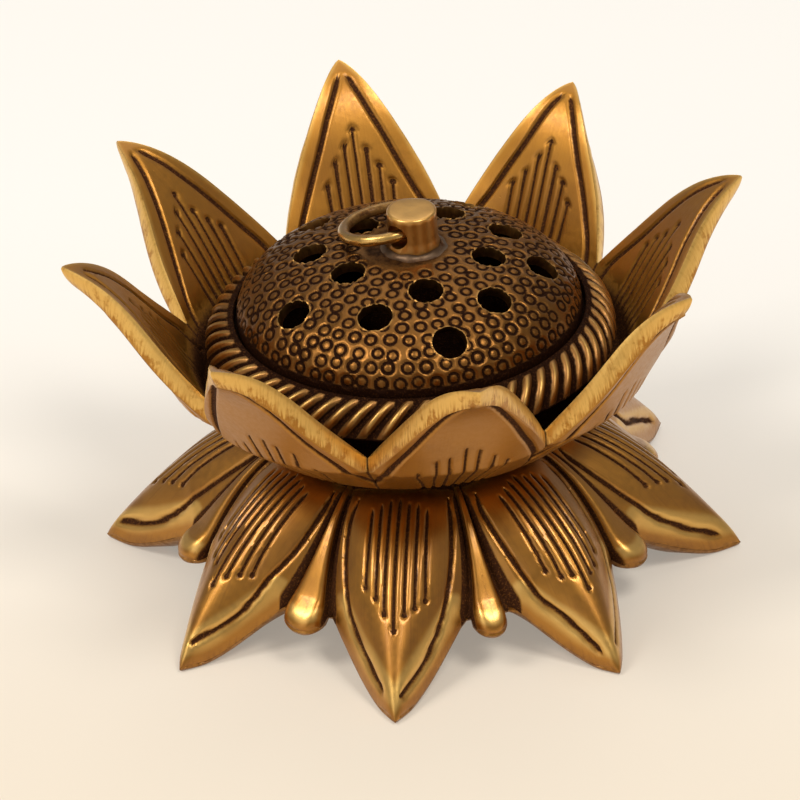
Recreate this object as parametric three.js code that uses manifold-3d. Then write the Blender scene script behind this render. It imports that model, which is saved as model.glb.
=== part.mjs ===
// Lotus incense burner: a petalled foot, a petalled cup, a fire bowl with a ribbed rim and a pierced lid with a ring.
// Lengths in millimetres, angles in degrees, +Z up. A foot petal points along -Y.
import * as THREE from 'three';
import { mergeVertices } from 'three/addons/utils/BufferGeometryUtils.js';
import Module from 'manifold-3d';

// Clearances
const SEAT_GAP = 0.3;
const BORE_GAP = 0.3;

// Petals
const PETALS = 8;
const CUP_TURN = 17.4;

// Foot
const FOOT_RADIUS = 67;
const FOOT_NECK_RADIUS = 28;
const FOOT_TOP = 31.7;
const FOOT_WALL = 3.6;
const FOOT_EDGE = 2.2;
const FOOT_CEILING = 27;
const FOOT_TIP_REST = 8;
const FOOT_FLAT_SHARE = 0.82;
const FOOT_JOIN_RADIUS = 48;
const FOOT_JOIN_HALF_WIDTH = 14;
const FOOT_JOIN_HEIGHT = 9.5;
const FOOT_OUTLINE_POWER = 0.88;
const FOOT_OUTLINE_ROUNDNESS = 0.9;
const FOOT_NECK_JOIN_ANGLE = 20.6;
const FOOT_GROOVE_DEPTH = 1.6;
const SEPAL_END_RADIUS = 52.8;
const SEPAL_HALF_ANGLE = 5;
const SEPAL_NECK_HALF_ANGLE = 1.2;
const SEPAL_HEIGHT = 2.8;
const SEPAL_DROOP = 1.4;
// How the tip of each petal was bent by hand, from the front one toward the right: turn and reach.
const FOOT_BENDS = [[0.8, 1.4], [-2.4, 0], [0.3, 0.4], [0, 0.3], [0.4, 1.4], [-0.3, 0], [-0.5, 0.5], [3.1, 1]];
// Left and right side of each petal: how much narrower it is at its join and how much wider the sepal half beside it.
const FOOT_SIDES = [
  [[0, -0.6], [0, -0.6]], [[1.2, -0.8], [0, 0.4]], [[0.6, 0.6], [0, 0]], [[0, 0], [0, 0.3]],
  [[0, 0], [0.4, 0]], [[0, 0.3], [0, 0]], [[0, 0], [0.4, 0.4]], [[0, 0.6], [1.7, 1.7]],
];

// Cup
const CUP_FLOOR = 5;
const CUP_WALL = 5.2;
const CUP_TIP_WALL = 3.6;
const CUP_BEVEL_SHARE = 0.94;
const CUP_SEAT_RADIUS = 27;
const CUP_BELLY_RADIUS = 39;
const CUP_BELLY_RISE = 6;
const CUP_NOTCH_RADIUS = 46.7;
const CUP_NOTCH_HEIGHT = 50.8;
const CUP_TIP_RADIUS = 70.6;
const CUP_TIP_HEIGHT = 78.6;
const CUP_BASE_SLOPE = 61;
const CUP_TIP_SLOPE = 14;
const CUP_BULGE = 2.2;
const CUP_NOTCH_GROOVE = 1.4;
const CUP_OUTLINE_POWER = 0.97;
const CUP_OUTLINE_ROUNDNESS = 0.8;
const CUP_ROOT_FLATNESS = 0.25;
// How the tip of each petal was bent by hand, from the front one toward the right: turn, reach and lift.
const CUP_BENDS = [
  [0.2, 0.3, 0.1], [-0.1, -1.7, 1.2], [-0.5, 0.7, -0.6], [1.6, -1.8, -1.2],
  [-0.3, 0.2, 0.8], [0.8, 1.4, 0.2], [-0.4, 0.8, 0.7], [-0.1, -0.6, 0.9],
];

// Fire bowl
const BOWL_SHOULDER_RADIUS = 42.7;
const BOWL_MOUTH_RADIUS = 36.4;
const BOWL_TOP = 58.2;
const BOWL_SHOULDER_DROP = 6.5;
const BOWL_LIP = 1;
const BOWL_BODY_RADIUS = 40.6;
const BOWL_WALL = 3.6;
const BOWL_FLOOR_RADIUS = 20;
const BOWL_LEDGE_WIDTH = 3;
const BOWL_LEDGE_DEPTH = 2.4;
const BOSS_RADIUS = 7;
const BOSS_HEIGHT = 4.5;
const RIBS = 64;
const RIB_DEPTH = 0.8;
const RIB_SLANT = 9;

// Clamp under the foot
const STUD_RADIUS = 3;
const STUD_GRIP = 5.2;
const WASHER_RADIUS = 8;
const WASHER_THICKNESS = 1.6;
const NUT_WIDTH = 10;
const NUT_HEIGHT = 5;
const STUD_TAIL = 2;

// Lid
const LID_TOP = 72.7;
const LID_EDGE = 57.6;
const LID_ROUNDNESS = 2.2;
const LID_WALL = 2.4;
const LID_SKIRT_DEPTH = 5;
const LID_SKIRT_WALL = 2;
const HOLE_RADIUS = 3.2;
// Holes of the lid as drilled by eye: distance from the axis as a share of the lid's radius, then azimuth from -Y
// toward +X.
const HOLES = [
  [0.405, -49.8], [0.464, 19.5], [0.483, 84.9], [0.508, 157.2], [0.394, -133.8],
  [0.662, -10.3], [0.696, 51.6], [0.628, 119.6], [0.642, -164], [0.561, -90.8],
  [0.802, -48.8], [0.844, 22.1], [0.785, 90.5], [0.793, 157.9], [0.737, -127.1],
];

// Knob and ring
const KNOB_RADIUS = 5.15;
const KNOB_FOOT_RADIUS = 5.6;
const KNOB_HEIGHT = 8.3;
const KNOB_CHAMFER = 0.5;
const KNOB_SHIFT = 1.5;
const KNOB_SHIFT_AZIMUTH = 97;
const KNOB_SHANK_RADIUS = 2.5;
const KNOB_SHANK_TAIL = 1.6;
const EYE_RADIUS = 2.6;
const EYE_BELOW_TOP = 4.5;
const EYE_AZIMUTH = -36;
const RING_RADIUS = 8.7;
const RING_WIRE_RADIUS = 1.2;
const SOLDER_WIDTH = 1.1;
const SOLDER_HEIGHT = 1.1;

// Sizes that follow
const PITCH = 360 / PETALS;
const CUP_BOTTOM = FOOT_TOP + SEAT_GAP;
const CUP_INSIDE = CUP_BOTTOM + CUP_FLOOR;
const BOWL_BOTTOM = CUP_INSIDE + SEAT_GAP;
const BORE_RADIUS = STUD_RADIUS + BORE_GAP;
const BOWL_LEDGE = BOWL_TOP - BOWL_LEDGE_DEPTH;
const LID_RADIUS = BOWL_MOUTH_RADIUS - 2 * BORE_GAP;
const LID_BOTTOM = BOWL_LEDGE + SEAT_GAP;
const SKIRT_RADIUS = BOWL_MOUTH_RADIUS - BOWL_LEDGE_WIDTH - 2 * BORE_GAP;
const KNOB_BASE = LID_TOP + SEAT_GAP;
const KNOB_TOP = KNOB_BASE + KNOB_HEIGHT;
const EYE_HEIGHT = KNOB_TOP - EYE_BELOW_TOP;

const radians = THREE.MathUtils.degToRad;
const lerp = THREE.MathUtils.lerp;
const clamp = THREE.MathUtils.clamp;

const KNOB_PLACE = place(KNOB_SHIFT, 0, 0, KNOB_SHIFT_AZIMUTH);

const wasm = await Module();
wasm.setup();

const brass = (colour, roughness) =>
  new THREE.MeshStandardMaterial({ color: colour, roughness, metalness: 0.95 });

const part = new THREE.Group();
part.name = 'lotus_incense_burner';

function addMesh(name, geometry, material) {
  const mesh = new THREE.Mesh(geometry, material);
  mesh.name = name;
  part.add(mesh);
}

// A point at a distance out from the axis along an azimuth, moved sideways at right angles to it.
function place(out, side, z, azimuth) {
  const a = radians(azimuth);
  const x = out * Math.sin(a) + side * Math.cos(a);
  const y = -out * Math.cos(a) + side * Math.sin(a);
  return new THREE.Vector3(x, y, z);
}

// A wall that closes on itself: rings of points round the axis, each joined to the next and the last to the first.
// A first and a last ring of one point each close it on the axis instead.
function ringWall(rings) {
  const positions = [];
  const starts = [];
  for (const ring of rings) {
    starts.push(positions.length / 3);
    for (const p of ring) positions.push(p.x, p.y, p.z);
  }
  const index = [];
  rings.forEach((ring, k) => {
    const other = (k + 1) % rings.length;
    joinRings(index, starts[k], ring.length, starts[other], rings[other].length);
  });
  const geometry = new THREE.BufferGeometry();
  geometry.setAttribute('position', new THREE.Float32BufferAttribute(positions, 3));
  geometry.setIndex(index);
  return geometry;
}

// Triangles between two rings whose point counts may differ.
function joinRings(index, startA, countA, startB, countB) {
  let i = countA === 1 ? 1 : 0;
  let j = countB === 1 ? 1 : 0;
  while (i < countA || j < countB) {
    const a = startA + (i % countA);
    const b = startB + (j % countB);
    if (j >= countB || (i < countA && (i + 1) * countB <= (j + 1) * countA)) {
      index.push(a, startA + ((i + 1) % countA), b);
      i += 1;
    } else {
      index.push(a, startB + ((j + 1) % countB), b);
      j += 1;
    }
  }
}

// Azimuths of one full turn from offsets within half a petal pitch, mirrored in every petal.
function azimuths(offsets) {
  const list = [];
  for (let k = 0; k < PETALS; k += 1) {
    for (const o of offsets) list.push({ petal: k * PITCH, offset: o });
    for (const o of offsets.slice(1, -1).reverse()) list.push({ petal: (k + 1) * PITCH, offset: -o });
  }
  return list;
}

function circle(r, z, count) {
  return Array.from({ length: count }, (_, k) => place(r, 0, z, (k * 360) / count));
}

function lathe(profile, segments) {
  const points = profile.map(([r, z]) => new THREE.Vector2(r, z));
  const geometry = new THREE.LatheGeometry(points, segments);
  geometry.rotateX(Math.PI / 2);
  return geometry;
}

function toSolid(geometry) {
  const plain = geometry.clone();
  plain.deleteAttribute('normal');
  plain.deleteAttribute('uv');
  const merged = mergeVertices(plain, 1e-4);
  const vertProperties = new Float32Array(merged.attributes.position.array);
  const triVerts = new Uint32Array(merged.index.array);
  return new wasm.Manifold(new wasm.Mesh({ numProp: 3, vertProperties, triVerts }));
}

function toGeometry(solid) {
  const mesh = solid.getMesh();
  const geometry = new THREE.BufferGeometry();
  geometry.setAttribute('position', new THREE.Float32BufferAttribute(mesh.vertProperties, 3));
  geometry.setIndex(Array.from(mesh.triVerts));
  geometry.computeVertexNormals();
  return geometry;
}

// Smallest share between 0 and 1 at which a falling function meets a target.
function solveFalling(f, target) {
  let low = 0;
  let high = 1;
  for (let k = 0; k < 40; k += 1) {
    const middle = (low + high) / 2;
    if (f(middle) > target) low = middle;
    else high = middle;
  }
  return (low + high) / 2;
}

// Foot: hollow casting of eight drooping petals with a narrow sepal between each pair.
const FOOT_CREST = new THREE.CubicBezierCurve(
  new THREE.Vector2(FOOT_NECK_RADIUS, FOOT_TOP),
  new THREE.Vector2(lerp(FOOT_NECK_RADIUS, FOOT_RADIUS, 0.36), FOOT_TOP - 1.2),
  new THREE.Vector2(lerp(FOOT_NECK_RADIUS, FOOT_RADIUS, 0.74), FOOT_TOP * 0.47),
  new THREE.Vector2(FOOT_RADIUS, FOOT_EDGE * 0.8),
);
const JOIN_ANGLE = THREE.MathUtils.radToDeg(Math.atan(FOOT_JOIN_HALF_WIDTH / FOOT_JOIN_RADIUS));
const SEPAL_START = PITCH / 2 - SEPAL_HALF_ANGLE;

function crestHeight(r) {
  const share = solveFalling((t) => -FOOT_CREST.getPoint(t).x, -r);
  return FOOT_CREST.getPoint(share).y;
}

// Outline of a foot petal beyond its join with the sepals: radius, half width and height of the lower edge.
// The edge comes down to the table before the tip, so that each tip stands on a small flat.
function footOutline(share) {
  return {
    r: lerp(FOOT_JOIN_RADIUS, FOOT_RADIUS, share),
    w: FOOT_JOIN_HALF_WIDTH * Math.max(0, 1 - share ** FOOT_OUTLINE_POWER) ** FOOT_OUTLINE_ROUNDNESS,
    z: FOOT_JOIN_HEIGHT * Math.max(0, 1 - share / FOOT_FLAT_SHARE) ** 1.5,
  };
}

// Petals are wider and sepals narrower toward the neck: the turn of a column of points at a radius, from its offset
// where petal and sepal part.
function footTurn(r, { petal, offset }) {
  const a = Math.abs(offset);
  const [narrower, wider] = FOOT_SIDES[(petal / PITCH) % PETALS][offset < 0 ? 0 : 1];
  const share = clamp((r - FOOT_NECK_RADIUS) / (FOOT_JOIN_RADIUS - FOOT_NECK_RADIUS), 0, 1) ** 2.4;
  const join = lerp(FOOT_NECK_JOIN_ANGLE, JOIN_ANGLE - narrower, share);
  const start = PITCH / 2 - lerp(SEPAL_NECK_HALF_ANGLE, SEPAL_HALF_ANGLE + wider, share);
  let turn = lerp(PITCH / 2, start, (PITCH / 2 - a) / SEPAL_HALF_ANGLE);
  if (a <= JOIN_ANGLE) turn = (join * a) / JOIN_ANGLE;
  else if (a < SEPAL_START) turn = lerp(join, start, (a - JOIN_ANGLE) / (SEPAL_START - JOIN_ANGLE));
  return Math.sign(offset) * turn;
}

function footPoint(r, z, column) {
  const [turn, reach] = FOOT_BENDS[(column.petal / PITCH) % PETALS];
  const free = Math.abs(column.offset) <= JOIN_ANGLE ? r - FOOT_JOIN_RADIUS : 0;
  const bend = clamp(free / (FOOT_RADIUS - FOOT_JOIN_RADIUS), 0, 1) ** 1.5;
  return place(r + reach * bend, 0, z, column.petal + footTurn(r, column) + turn * bend);
}

// Where the foot ends at an offset from the petal's middle, and how high its lower edge is there.
function footRim(offset) {
  const a = Math.abs(offset);
  if (a <= JOIN_ANGLE) {
    const share = solveFalling((t) => footOutline(t).w / footOutline(t).r, Math.tan(radians(a)));
    const edge = footOutline(share);
    return { r: edge.r, z: edge.z };
  }
  if (a < SEPAL_START) return { r: FOOT_JOIN_RADIUS - 1, z: FOOT_JOIN_HEIGHT };
  const across = (PITCH / 2 - a) / SEPAL_HALF_ANGLE;
  const reach = Math.sqrt(Math.max(0, 1 - across ** 2));
  return { r: lerp(FOOT_JOIN_RADIUS, SEPAL_END_RADIUS, reach), z: FOOT_JOIN_HEIGHT - SEPAL_DROOP * reach };
}

// Height of the petal's side edge at a radius.
function footEdgeHeight(r) {
  const crest = crestHeight(r);
  if (r >= FOOT_JOIN_RADIUS) {
    const share = (r - FOOT_JOIN_RADIUS) / (FOOT_RADIUS - FOOT_JOIN_RADIUS);
    return Math.min(crest, footOutline(share).z + FOOT_EDGE);
  }
  const share = clamp((r - FOOT_NECK_RADIUS) / (FOOT_JOIN_RADIUS - FOOT_NECK_RADIUS), 0, 1);
  const fall = crestHeight(FOOT_JOIN_RADIUS) - (FOOT_JOIN_HEIGHT + FOOT_EDGE);
  return crest - lerp(0.8, fall, share ** 1.3);
}

function footOuterHeight(r, offset) {
  const a = Math.abs(offset);
  const crest = crestHeight(r);
  const edge = footEdgeHeight(r);
  const share = clamp((r - FOOT_NECK_RADIUS) / (FOOT_JOIN_RADIUS - FOOT_NECK_RADIUS), 0, 1);
  if (a <= JOIN_ANGLE) {
    let side = JOIN_ANGLE;
    if (r > FOOT_JOIN_RADIUS) {
      const outline = footOutline((r - FOOT_JOIN_RADIUS) / (FOOT_RADIUS - FOOT_JOIN_RADIUS));
      side = THREE.MathUtils.radToDeg(Math.atan(outline.w / outline.r)) + 0.01;
    }
    return lerp(crest, edge, clamp(a / side, 0, 1) ** 2.2);
  }
  const inner = footEdgeHeight(Math.min(r, FOOT_JOIN_RADIUS));
  if (a < SEPAL_START) return inner - FOOT_GROOVE_DEPTH * Math.sqrt(share);
  const across = (PITCH / 2 - a) / SEPAL_HALF_ANGLE;
  const end = clamp((r - FOOT_JOIN_RADIUS) / (SEPAL_END_RADIUS - FOOT_JOIN_RADIUS), 0, 1);
  const top = SEPAL_HEIGHT * (0.2 + 0.8 * share) * Math.sqrt(Math.max(0, 1 - 0.8 * end ** 2));
  return inner - SEPAL_DROOP * end + lerp(top, -FOOT_GROOVE_DEPTH * 0.6 * share, across ** 3);
}

function makeFoot() {
  const rows = 9;
  const grooveMiddle = (JOIN_ANGLE + SEPAL_START) / 2;
  const fine = azimuths([
    0, 2.4, 5.6, 9, 12.6, JOIN_ANGLE, grooveMiddle, SEPAL_START, PITCH / 2 - 2.2, PITCH / 2,
  ]);
  const coarse = azimuths([0, 5, 11, 17, PITCH / 2]);
  const rings = [];
  for (let k = rows; k >= 0; k -= 1) {
    rings.push(fine.map((column) => {
      const r = lerp(FOOT_NECK_RADIUS, footRim(column.offset).r, k / rows);
      return footPoint(r, footOuterHeight(r, column.offset), column);
    }));
  }
  rings.push(coarse.map(({ petal, offset }) => place(BORE_RADIUS, 0, FOOT_TOP, petal + offset)));
  rings.push(coarse.map(({ petal, offset }) => place(BORE_RADIUS, 0, FOOT_CEILING, petal + offset)));
  rings.push(coarse.map(({ petal, offset }) => place(WASHER_RADIUS + 3, 0, FOOT_CEILING, petal + offset)));
  const inner = [0.25, 0.45, 0.65, 0.85];
  for (const share of inner) {
    rings.push(coarse.map((column) => {
      const r = lerp(WASHER_RADIUS + 3, footInsideRadius(column.offset), share);
      return footPoint(r, footInsideHeight(r, column.offset), column);
    }));
  }
  rings.push(coarse.map((column) => {
    return footPoint(footInsideRadius(column.offset), footRim(column.offset).z, column);
  }));
  rings.push(fine.map((column) => {
    const rim = footRim(column.offset);
    return footPoint(rim.r, rim.z, column);
  }));
  return ringWall(rings);
}

function footInsideRadius(offset) {
  const rim = footRim(offset);
  const tip = clamp(1 - Math.abs(offset) / JOIN_ANGLE, 0, 1);
  return rim.r - lerp(FOOT_WALL, FOOT_TIP_REST, tip);
}

function footInsideHeight(r, offset) {
  const below = footOuterHeight(Math.max(r, FOOT_NECK_RADIUS), offset) - FOOT_WALL;
  return Math.min(FOOT_CEILING, below);
}

// Cup: thick casting whose wall parts into eight pointed petals that lean and curl outward.
const CUP_SPINE = new THREE.CubicBezierCurve(
  new THREE.Vector2(CUP_NOTCH_RADIUS, CUP_NOTCH_HEIGHT),
  new THREE.Vector2(CUP_NOTCH_RADIUS, CUP_NOTCH_HEIGHT).add(along(CUP_BASE_SLOPE, 0.55)),
  new THREE.Vector2(CUP_TIP_RADIUS, CUP_TIP_HEIGHT).sub(along(CUP_TIP_SLOPE, 0.27)),
  new THREE.Vector2(CUP_TIP_RADIUS, CUP_TIP_HEIGHT),
);

// A step along a slope, as a share of the petal's length.
function along(slope, share) {
  const length = Math.hypot(CUP_TIP_RADIUS - CUP_NOTCH_RADIUS, CUP_TIP_HEIGHT - CUP_NOTCH_HEIGHT);
  return new THREE.Vector2(Math.cos(radians(slope)), Math.sin(radians(slope))).multiplyScalar(share * length);
}

function cupHalfWidth(t) {
  const share = (1 - t ** CUP_OUTLINE_POWER) ** CUP_OUTLINE_ROUNDNESS;
  return CUP_NOTCH_RADIUS * Math.tan(radians(PITCH / 2)) * share;
}

// How far up its spine a cup petal reaches at an offset from its middle.
function cupReach(offset) {
  const slope = Math.tan(radians(Math.abs(offset)));
  return solveFalling((t) => cupHalfWidth(t) / CUP_SPINE.getPointAt(t).x, slope);
}

// A point on the spine moved square to it by a depth into the wall.
function spinePoint(t, depth) {
  const p = CUP_SPINE.getPointAt(t);
  const tangent = CUP_SPINE.getTangentAt(t);
  return { r: p.x + depth * tangent.y, z: p.y - depth * tangent.x };
}

// Petals are round like the bowl at their root and flat across further up.
function flatten(r, t, offset) {
  const flat = lerp(CUP_ROOT_FLATNESS, 1, THREE.MathUtils.smoothstep(t, 0, 0.5));
  return r * (1 + flat * (1 / Math.cos(radians(offset)) - 1));
}

// A point of a petal, with the petal's own bend growing toward its tip.
function cupPoint(r, z, t, { petal, offset }) {
  const [turn, reach, lift] = CUP_BENDS[Math.round(petal / PITCH) % PETALS];
  const bend = Math.max(0, t) ** 1.5;
  return place(r + reach * bend, 0, z + lift * bend, petal + offset + CUP_TURN + turn * bend);
}

// The inner face, from the bowl's shoulder up to the petal's edge.
function cupInnerPoint(share, column) {
  const { offset } = column;
  const root = 0.3;
  const start = { r: BOWL_SHOULDER_RADIUS + 0.4, z: CUP_NOTCH_HEIGHT - 6.4 };
  const t = cupReach(offset) * Math.max(0, (share - root) / (1 - root));
  const p = spinePoint(t, 0);
  const climb = Math.min(1, share / root);
  const r = lerp(start.r, flatten(p.r, t, offset), climb);
  return cupPoint(r, lerp(start.z, p.z, climb), t, column);
}

// The outer face, from the belly up to the petal's edge. It is rounder than the inner face and grooved at the notch.
function cupOuterPoint(share, column) {
  const { offset } = column;
  const root = 0.36;
  const start = { r: CUP_BELLY_RADIUS, z: CUP_BOTTOM + CUP_BELLY_RISE };
  const t = cupReach(offset) * Math.max(0, (share - root) / (1 - root));
  const p = spinePoint(t, lerp(CUP_WALL, CUP_TIP_WALL, t));
  const climb = Math.min(1, share / root);
  const side = Math.abs(offset) / (PITCH / 2);
  const hollow = CUP_BULGE * side ** 2 + CUP_NOTCH_GROOVE * side ** 12;
  const r = lerp(start.r, flatten(p.r, t, offset) - hollow, climb);
  const lift = Math.max(0, share - root) * CUP_NOTCH_GROOVE * side ** 12;
  return cupPoint(r - lift, lerp(start.z, p.z, climb) + lift, t, column);
}

function makeCup() {
  const fine = azimuths([0, 0.8, 2.2, 4.6, 7.8, 11.4, 15.2, 19, PITCH / 2]);
  const coarse = azimuths([0, 5.6, 11.2, 16.8, PITCH / 2]);
  const ring = (r, z) => coarse.map(({ petal, offset }) => place(r, 0, z, petal + offset + CUP_TURN));
  const rise = (share) => CUP_BOTTOM + CUP_BELLY_RISE * share;
  const rings = [
    ring(BORE_RADIUS, CUP_BOTTOM),
    ring(CUP_SEAT_RADIUS, CUP_BOTTOM),
    ring(CUP_SEAT_RADIUS, rise(0.2)),
    ring(lerp(CUP_SEAT_RADIUS, CUP_BELLY_RADIUS, 0.5), rise(0.45)),
    ring(CUP_BELLY_RADIUS, rise(1)),
  ];
  const rows = 7;
  for (let k = 1; k <= rows; k += 1) {
    rings.push(fine.map((column) => cupOuterPoint((k / rows) * CUP_BEVEL_SHARE, column)));
  }
  for (let k = rows; k >= 0; k -= 1) {
    rings.push(fine.map((column) => cupInnerPoint(k / rows, column)));
  }
  rings.push(ring(BOWL_BODY_RADIUS - 4, CUP_INSIDE + 3.2));
  rings.push(ring(BOWL_FLOOR_RADIUS + 6, CUP_INSIDE));
  rings.push(ring(BORE_RADIUS, CUP_INSIDE));
  return ringWall(rings);
}

// Fire bowl: cup-shaped casting with a rounded shoulder of slanted ribs and a ledge for the lid.
function makeBowl() {
  const around = 48;
  const floor = BOWL_BOTTOM + BOWL_WALL;
  const boreEnd = BOWL_BOTTOM + STUD_GRIP;
  const mouth = BOWL_MOUTH_RADIUS;
  const inside = BOWL_BODY_RADIUS - BOWL_WALL - 0.8;
  const rings = [
    circle(0, boreEnd, 1),
    circle(BORE_RADIUS, boreEnd, 16),
    circle(BORE_RADIUS, BOWL_BOTTOM, 16),
    circle(BOWL_FLOOR_RADIUS, BOWL_BOTTOM, around),
    circle(BOWL_FLOOR_RADIUS + 4, BOWL_BOTTOM + 0.6, around),
    circle(BOWL_BODY_RADIUS - 5.4, BOWL_BOTTOM + 4.5, around),
    circle(BOWL_BODY_RADIUS - 0.2, BOWL_BOTTOM + 8.7, around),
    circle(BOWL_BODY_RADIUS, BOWL_TOP - BOWL_SHOULDER_DROP - 1.6, around),
  ];
  const rows = 5;
  for (let k = 0; k <= rows; k += 1) rings.push(shoulderRing(k / rows));
  rings.push(circle(mouth, BOWL_TOP, around));
  rings.push(circle(mouth, BOWL_LEDGE, around));
  rings.push(circle(mouth - BOWL_LEDGE_WIDTH, BOWL_LEDGE, around));
  rings.push(circle(mouth - BOWL_LEDGE_WIDTH, BOWL_LEDGE - 2.2, around));
  rings.push(circle(inside, BOWL_LEDGE - 4.8, around));
  rings.push(circle(inside, floor + 5.6, around));
  rings.push(circle(inside - 4.6, floor + 1.9, around));
  rings.push(circle(BOWL_FLOOR_RADIUS, floor, around));
  rings.push(circle(BOSS_RADIUS, floor, 24));
  rings.push(circle(BOSS_RADIUS - 0.5, floor + BOSS_HEIGHT, 24));
  rings.push(circle(0, floor + BOSS_HEIGHT, 1));
  return ringWall(rings);
}

// One ring of points over the shoulder, from its foot to the lip: every second point lies in the groove beside a rib.
function shoulderRing(share) {
  const angle = radians(90 * share);
  const fade = Math.sqrt(Math.max(0, Math.sin(Math.PI * clamp(share, 0.02, 0.98))));
  const turn = RIB_SLANT * share;
  const count = 2 * RIBS;
  const lip = BOWL_MOUTH_RADIUS + BOWL_LIP;
  return Array.from({ length: count }, (_, k) => {
    const depth = k % 2 ? RIB_DEPTH * fade : 0;
    const r = lip + (BOWL_SHOULDER_RADIUS - lip - depth) * Math.cos(angle);
    const z = BOWL_TOP - BOWL_SHOULDER_DROP + (BOWL_SHOULDER_DROP - depth) * Math.sin(angle);
    return place(r, 0, z, (k * 360) / count + turn);
  });
}

// Clamp: stud into the bowl's boss, through the cup and the foot, with a washer and a nut below.
const WASHER_TOP = FOOT_CEILING - SEAT_GAP;
const NUT_TOP = WASHER_TOP - WASHER_THICKNESS - SEAT_GAP;
const STUD_BOTTOM = NUT_TOP - NUT_HEIGHT - STUD_TAIL;

function makeStud() {
  const top = BOWL_BOTTOM + STUD_GRIP - SEAT_GAP;
  const bevel = 0.5;
  return lathe([
    [0, STUD_BOTTOM],
    [STUD_RADIUS - bevel, STUD_BOTTOM],
    [STUD_RADIUS, STUD_BOTTOM + bevel],
    [STUD_RADIUS, top - bevel],
    [STUD_RADIUS - bevel, top],
    [0, top],
  ], 20);
}

function makeWasher() {
  const low = WASHER_TOP - WASHER_THICKNESS;
  return ringWall([
    circle(BORE_RADIUS, low, 32),
    circle(WASHER_RADIUS, low, 32),
    circle(WASHER_RADIUS, WASHER_TOP, 32),
    circle(BORE_RADIUS, WASHER_TOP, 32),
  ]);
}

function makeNut() {
  const shape = new THREE.Shape();
  const corner = NUT_WIDTH / 2 / Math.cos(Math.PI / 6);
  for (let k = 0; k < 6; k += 1) {
    const a = (k * Math.PI) / 3;
    if (k === 0) shape.moveTo(corner, 0);
    else shape.lineTo(corner * Math.cos(a), corner * Math.sin(a));
  }
  const bore = new THREE.Path();
  bore.absarc(0, 0, BORE_RADIUS, 0, 2 * Math.PI, true);
  shape.holes.push(bore);
  const geometry = new THREE.ExtrudeGeometry(shape, { depth: NUT_HEIGHT, bevelEnabled: false, curveSegments: 20 });
  geometry.translate(0, 0, NUT_TOP - NUT_HEIGHT);
  return geometry;
}

// Lid: domed shell with a skirt that drops into the bowl's mouth, holed for smoke and for the knob's shank.
function makeLid() {
  const steps = 8;
  const outer = [];
  for (let k = 0; k <= steps; k += 1) {
    const r = LID_RADIUS * Math.sin((Math.PI / 2) * (k / steps));
    outer.push([r, domeHeight(r)]);
  }
  const under = [];
  const skirtInside = SKIRT_RADIUS - LID_SKIRT_WALL;
  for (let k = 5; k >= 0; k -= 1) {
    const r = (skirtInside * k) / 5;
    under.push([r, domeHeight(r) - LID_WALL]);
  }
  const skirtBottom = LID_BOTTOM - LID_SKIRT_DEPTH;
  const profile = [
    ...outer,
    [LID_RADIUS, LID_BOTTOM],
    [SKIRT_RADIUS, LID_BOTTOM],
    [SKIRT_RADIUS, skirtBottom],
    [skirtInside, skirtBottom],
    ...under,
  ];
  let solid = toSolid(lathe(profile.reverse(), 48));
  for (const [share, azimuth] of HOLES) solid = solid.subtract(toSolid(drill(share * LID_RADIUS, azimuth)));
  const bore = KNOB_SHANK_RADIUS + BORE_GAP;
  const shank = new THREE.CylinderGeometry(bore, bore, 4 * LID_WALL, 20);
  shank.rotateX(Math.PI / 2);
  shank.translate(KNOB_PLACE.x, KNOB_PLACE.y, LID_TOP);
  return toGeometry(solid.subtract(toSolid(shank)));
}

// Height of the dome at a radius: flat on top and steep at the edge.
function domeHeight(r) {
  const fall = (1 - Math.min(1, r / LID_RADIUS) ** LID_ROUNDNESS) ** (1 / LID_ROUNDNESS);
  return LID_EDGE + (LID_TOP - LID_EDGE) * fall;
}

// A drill square to the dome.
function drill(r, azimuth) {
  const tool = new THREE.CylinderGeometry(HOLE_RADIUS, HOLE_RADIUS, 6 * LID_WALL, 14);
  const slope = domeHeight(r - 0.5) - domeHeight(r + 0.5);
  const normal = place(slope, 0, 1, azimuth).normalize();
  const point = place(r, 0, domeHeight(r), azimuth);
  tool.applyQuaternion(new THREE.Quaternion().setFromUnitVectors(new THREE.Vector3(0, 1, 0), normal));
  tool.translate(point.x, point.y, point.z);
  return tool;
}

// Knob: short post a little off the lid's middle, with a shank through the lid and an eye bored across it.
function makeKnob() {
  const shankBottom = LID_TOP - LID_WALL - KNOB_SHANK_TAIL;
  const post = toSolid(lathe([
    [0, shankBottom],
    [KNOB_SHANK_RADIUS, shankBottom],
    [KNOB_SHANK_RADIUS, KNOB_BASE],
    [KNOB_FOOT_RADIUS, KNOB_BASE],
    [KNOB_RADIUS, KNOB_BASE + KNOB_HEIGHT / 5],
    [KNOB_RADIUS, KNOB_TOP - KNOB_CHAMFER],
    [KNOB_RADIUS - KNOB_CHAMFER, KNOB_TOP],
    [0, KNOB_TOP],
  ], 36));
  const bore = new THREE.CylinderGeometry(EYE_RADIUS, EYE_RADIUS, 4 * KNOB_RADIUS, 24);
  bore.rotateZ(radians(EYE_AZIMUTH));
  bore.translate(0, 0, EYE_HEIGHT);
  const geometry = toGeometry(post.subtract(toSolid(bore)));
  geometry.translate(KNOB_PLACE.x, KNOB_PLACE.y, 0);
  return geometry;
}

// Solder: fillet run round the knob's foot on the dome.
function makeSolder() {
  const low = KNOB_FOOT_RADIUS + SEAT_GAP;
  const high = low + SOLDER_WIDTH;
  return ringWall([
    filletRing(low, 0),
    filletRing(high, 0),
    filletRing(high, SOLDER_HEIGHT * 0.15),
    filletRing(lerp(low, high, 0.4), SOLDER_HEIGHT * 0.55),
    filletRing(low, SOLDER_HEIGHT),
  ]);
}

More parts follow.
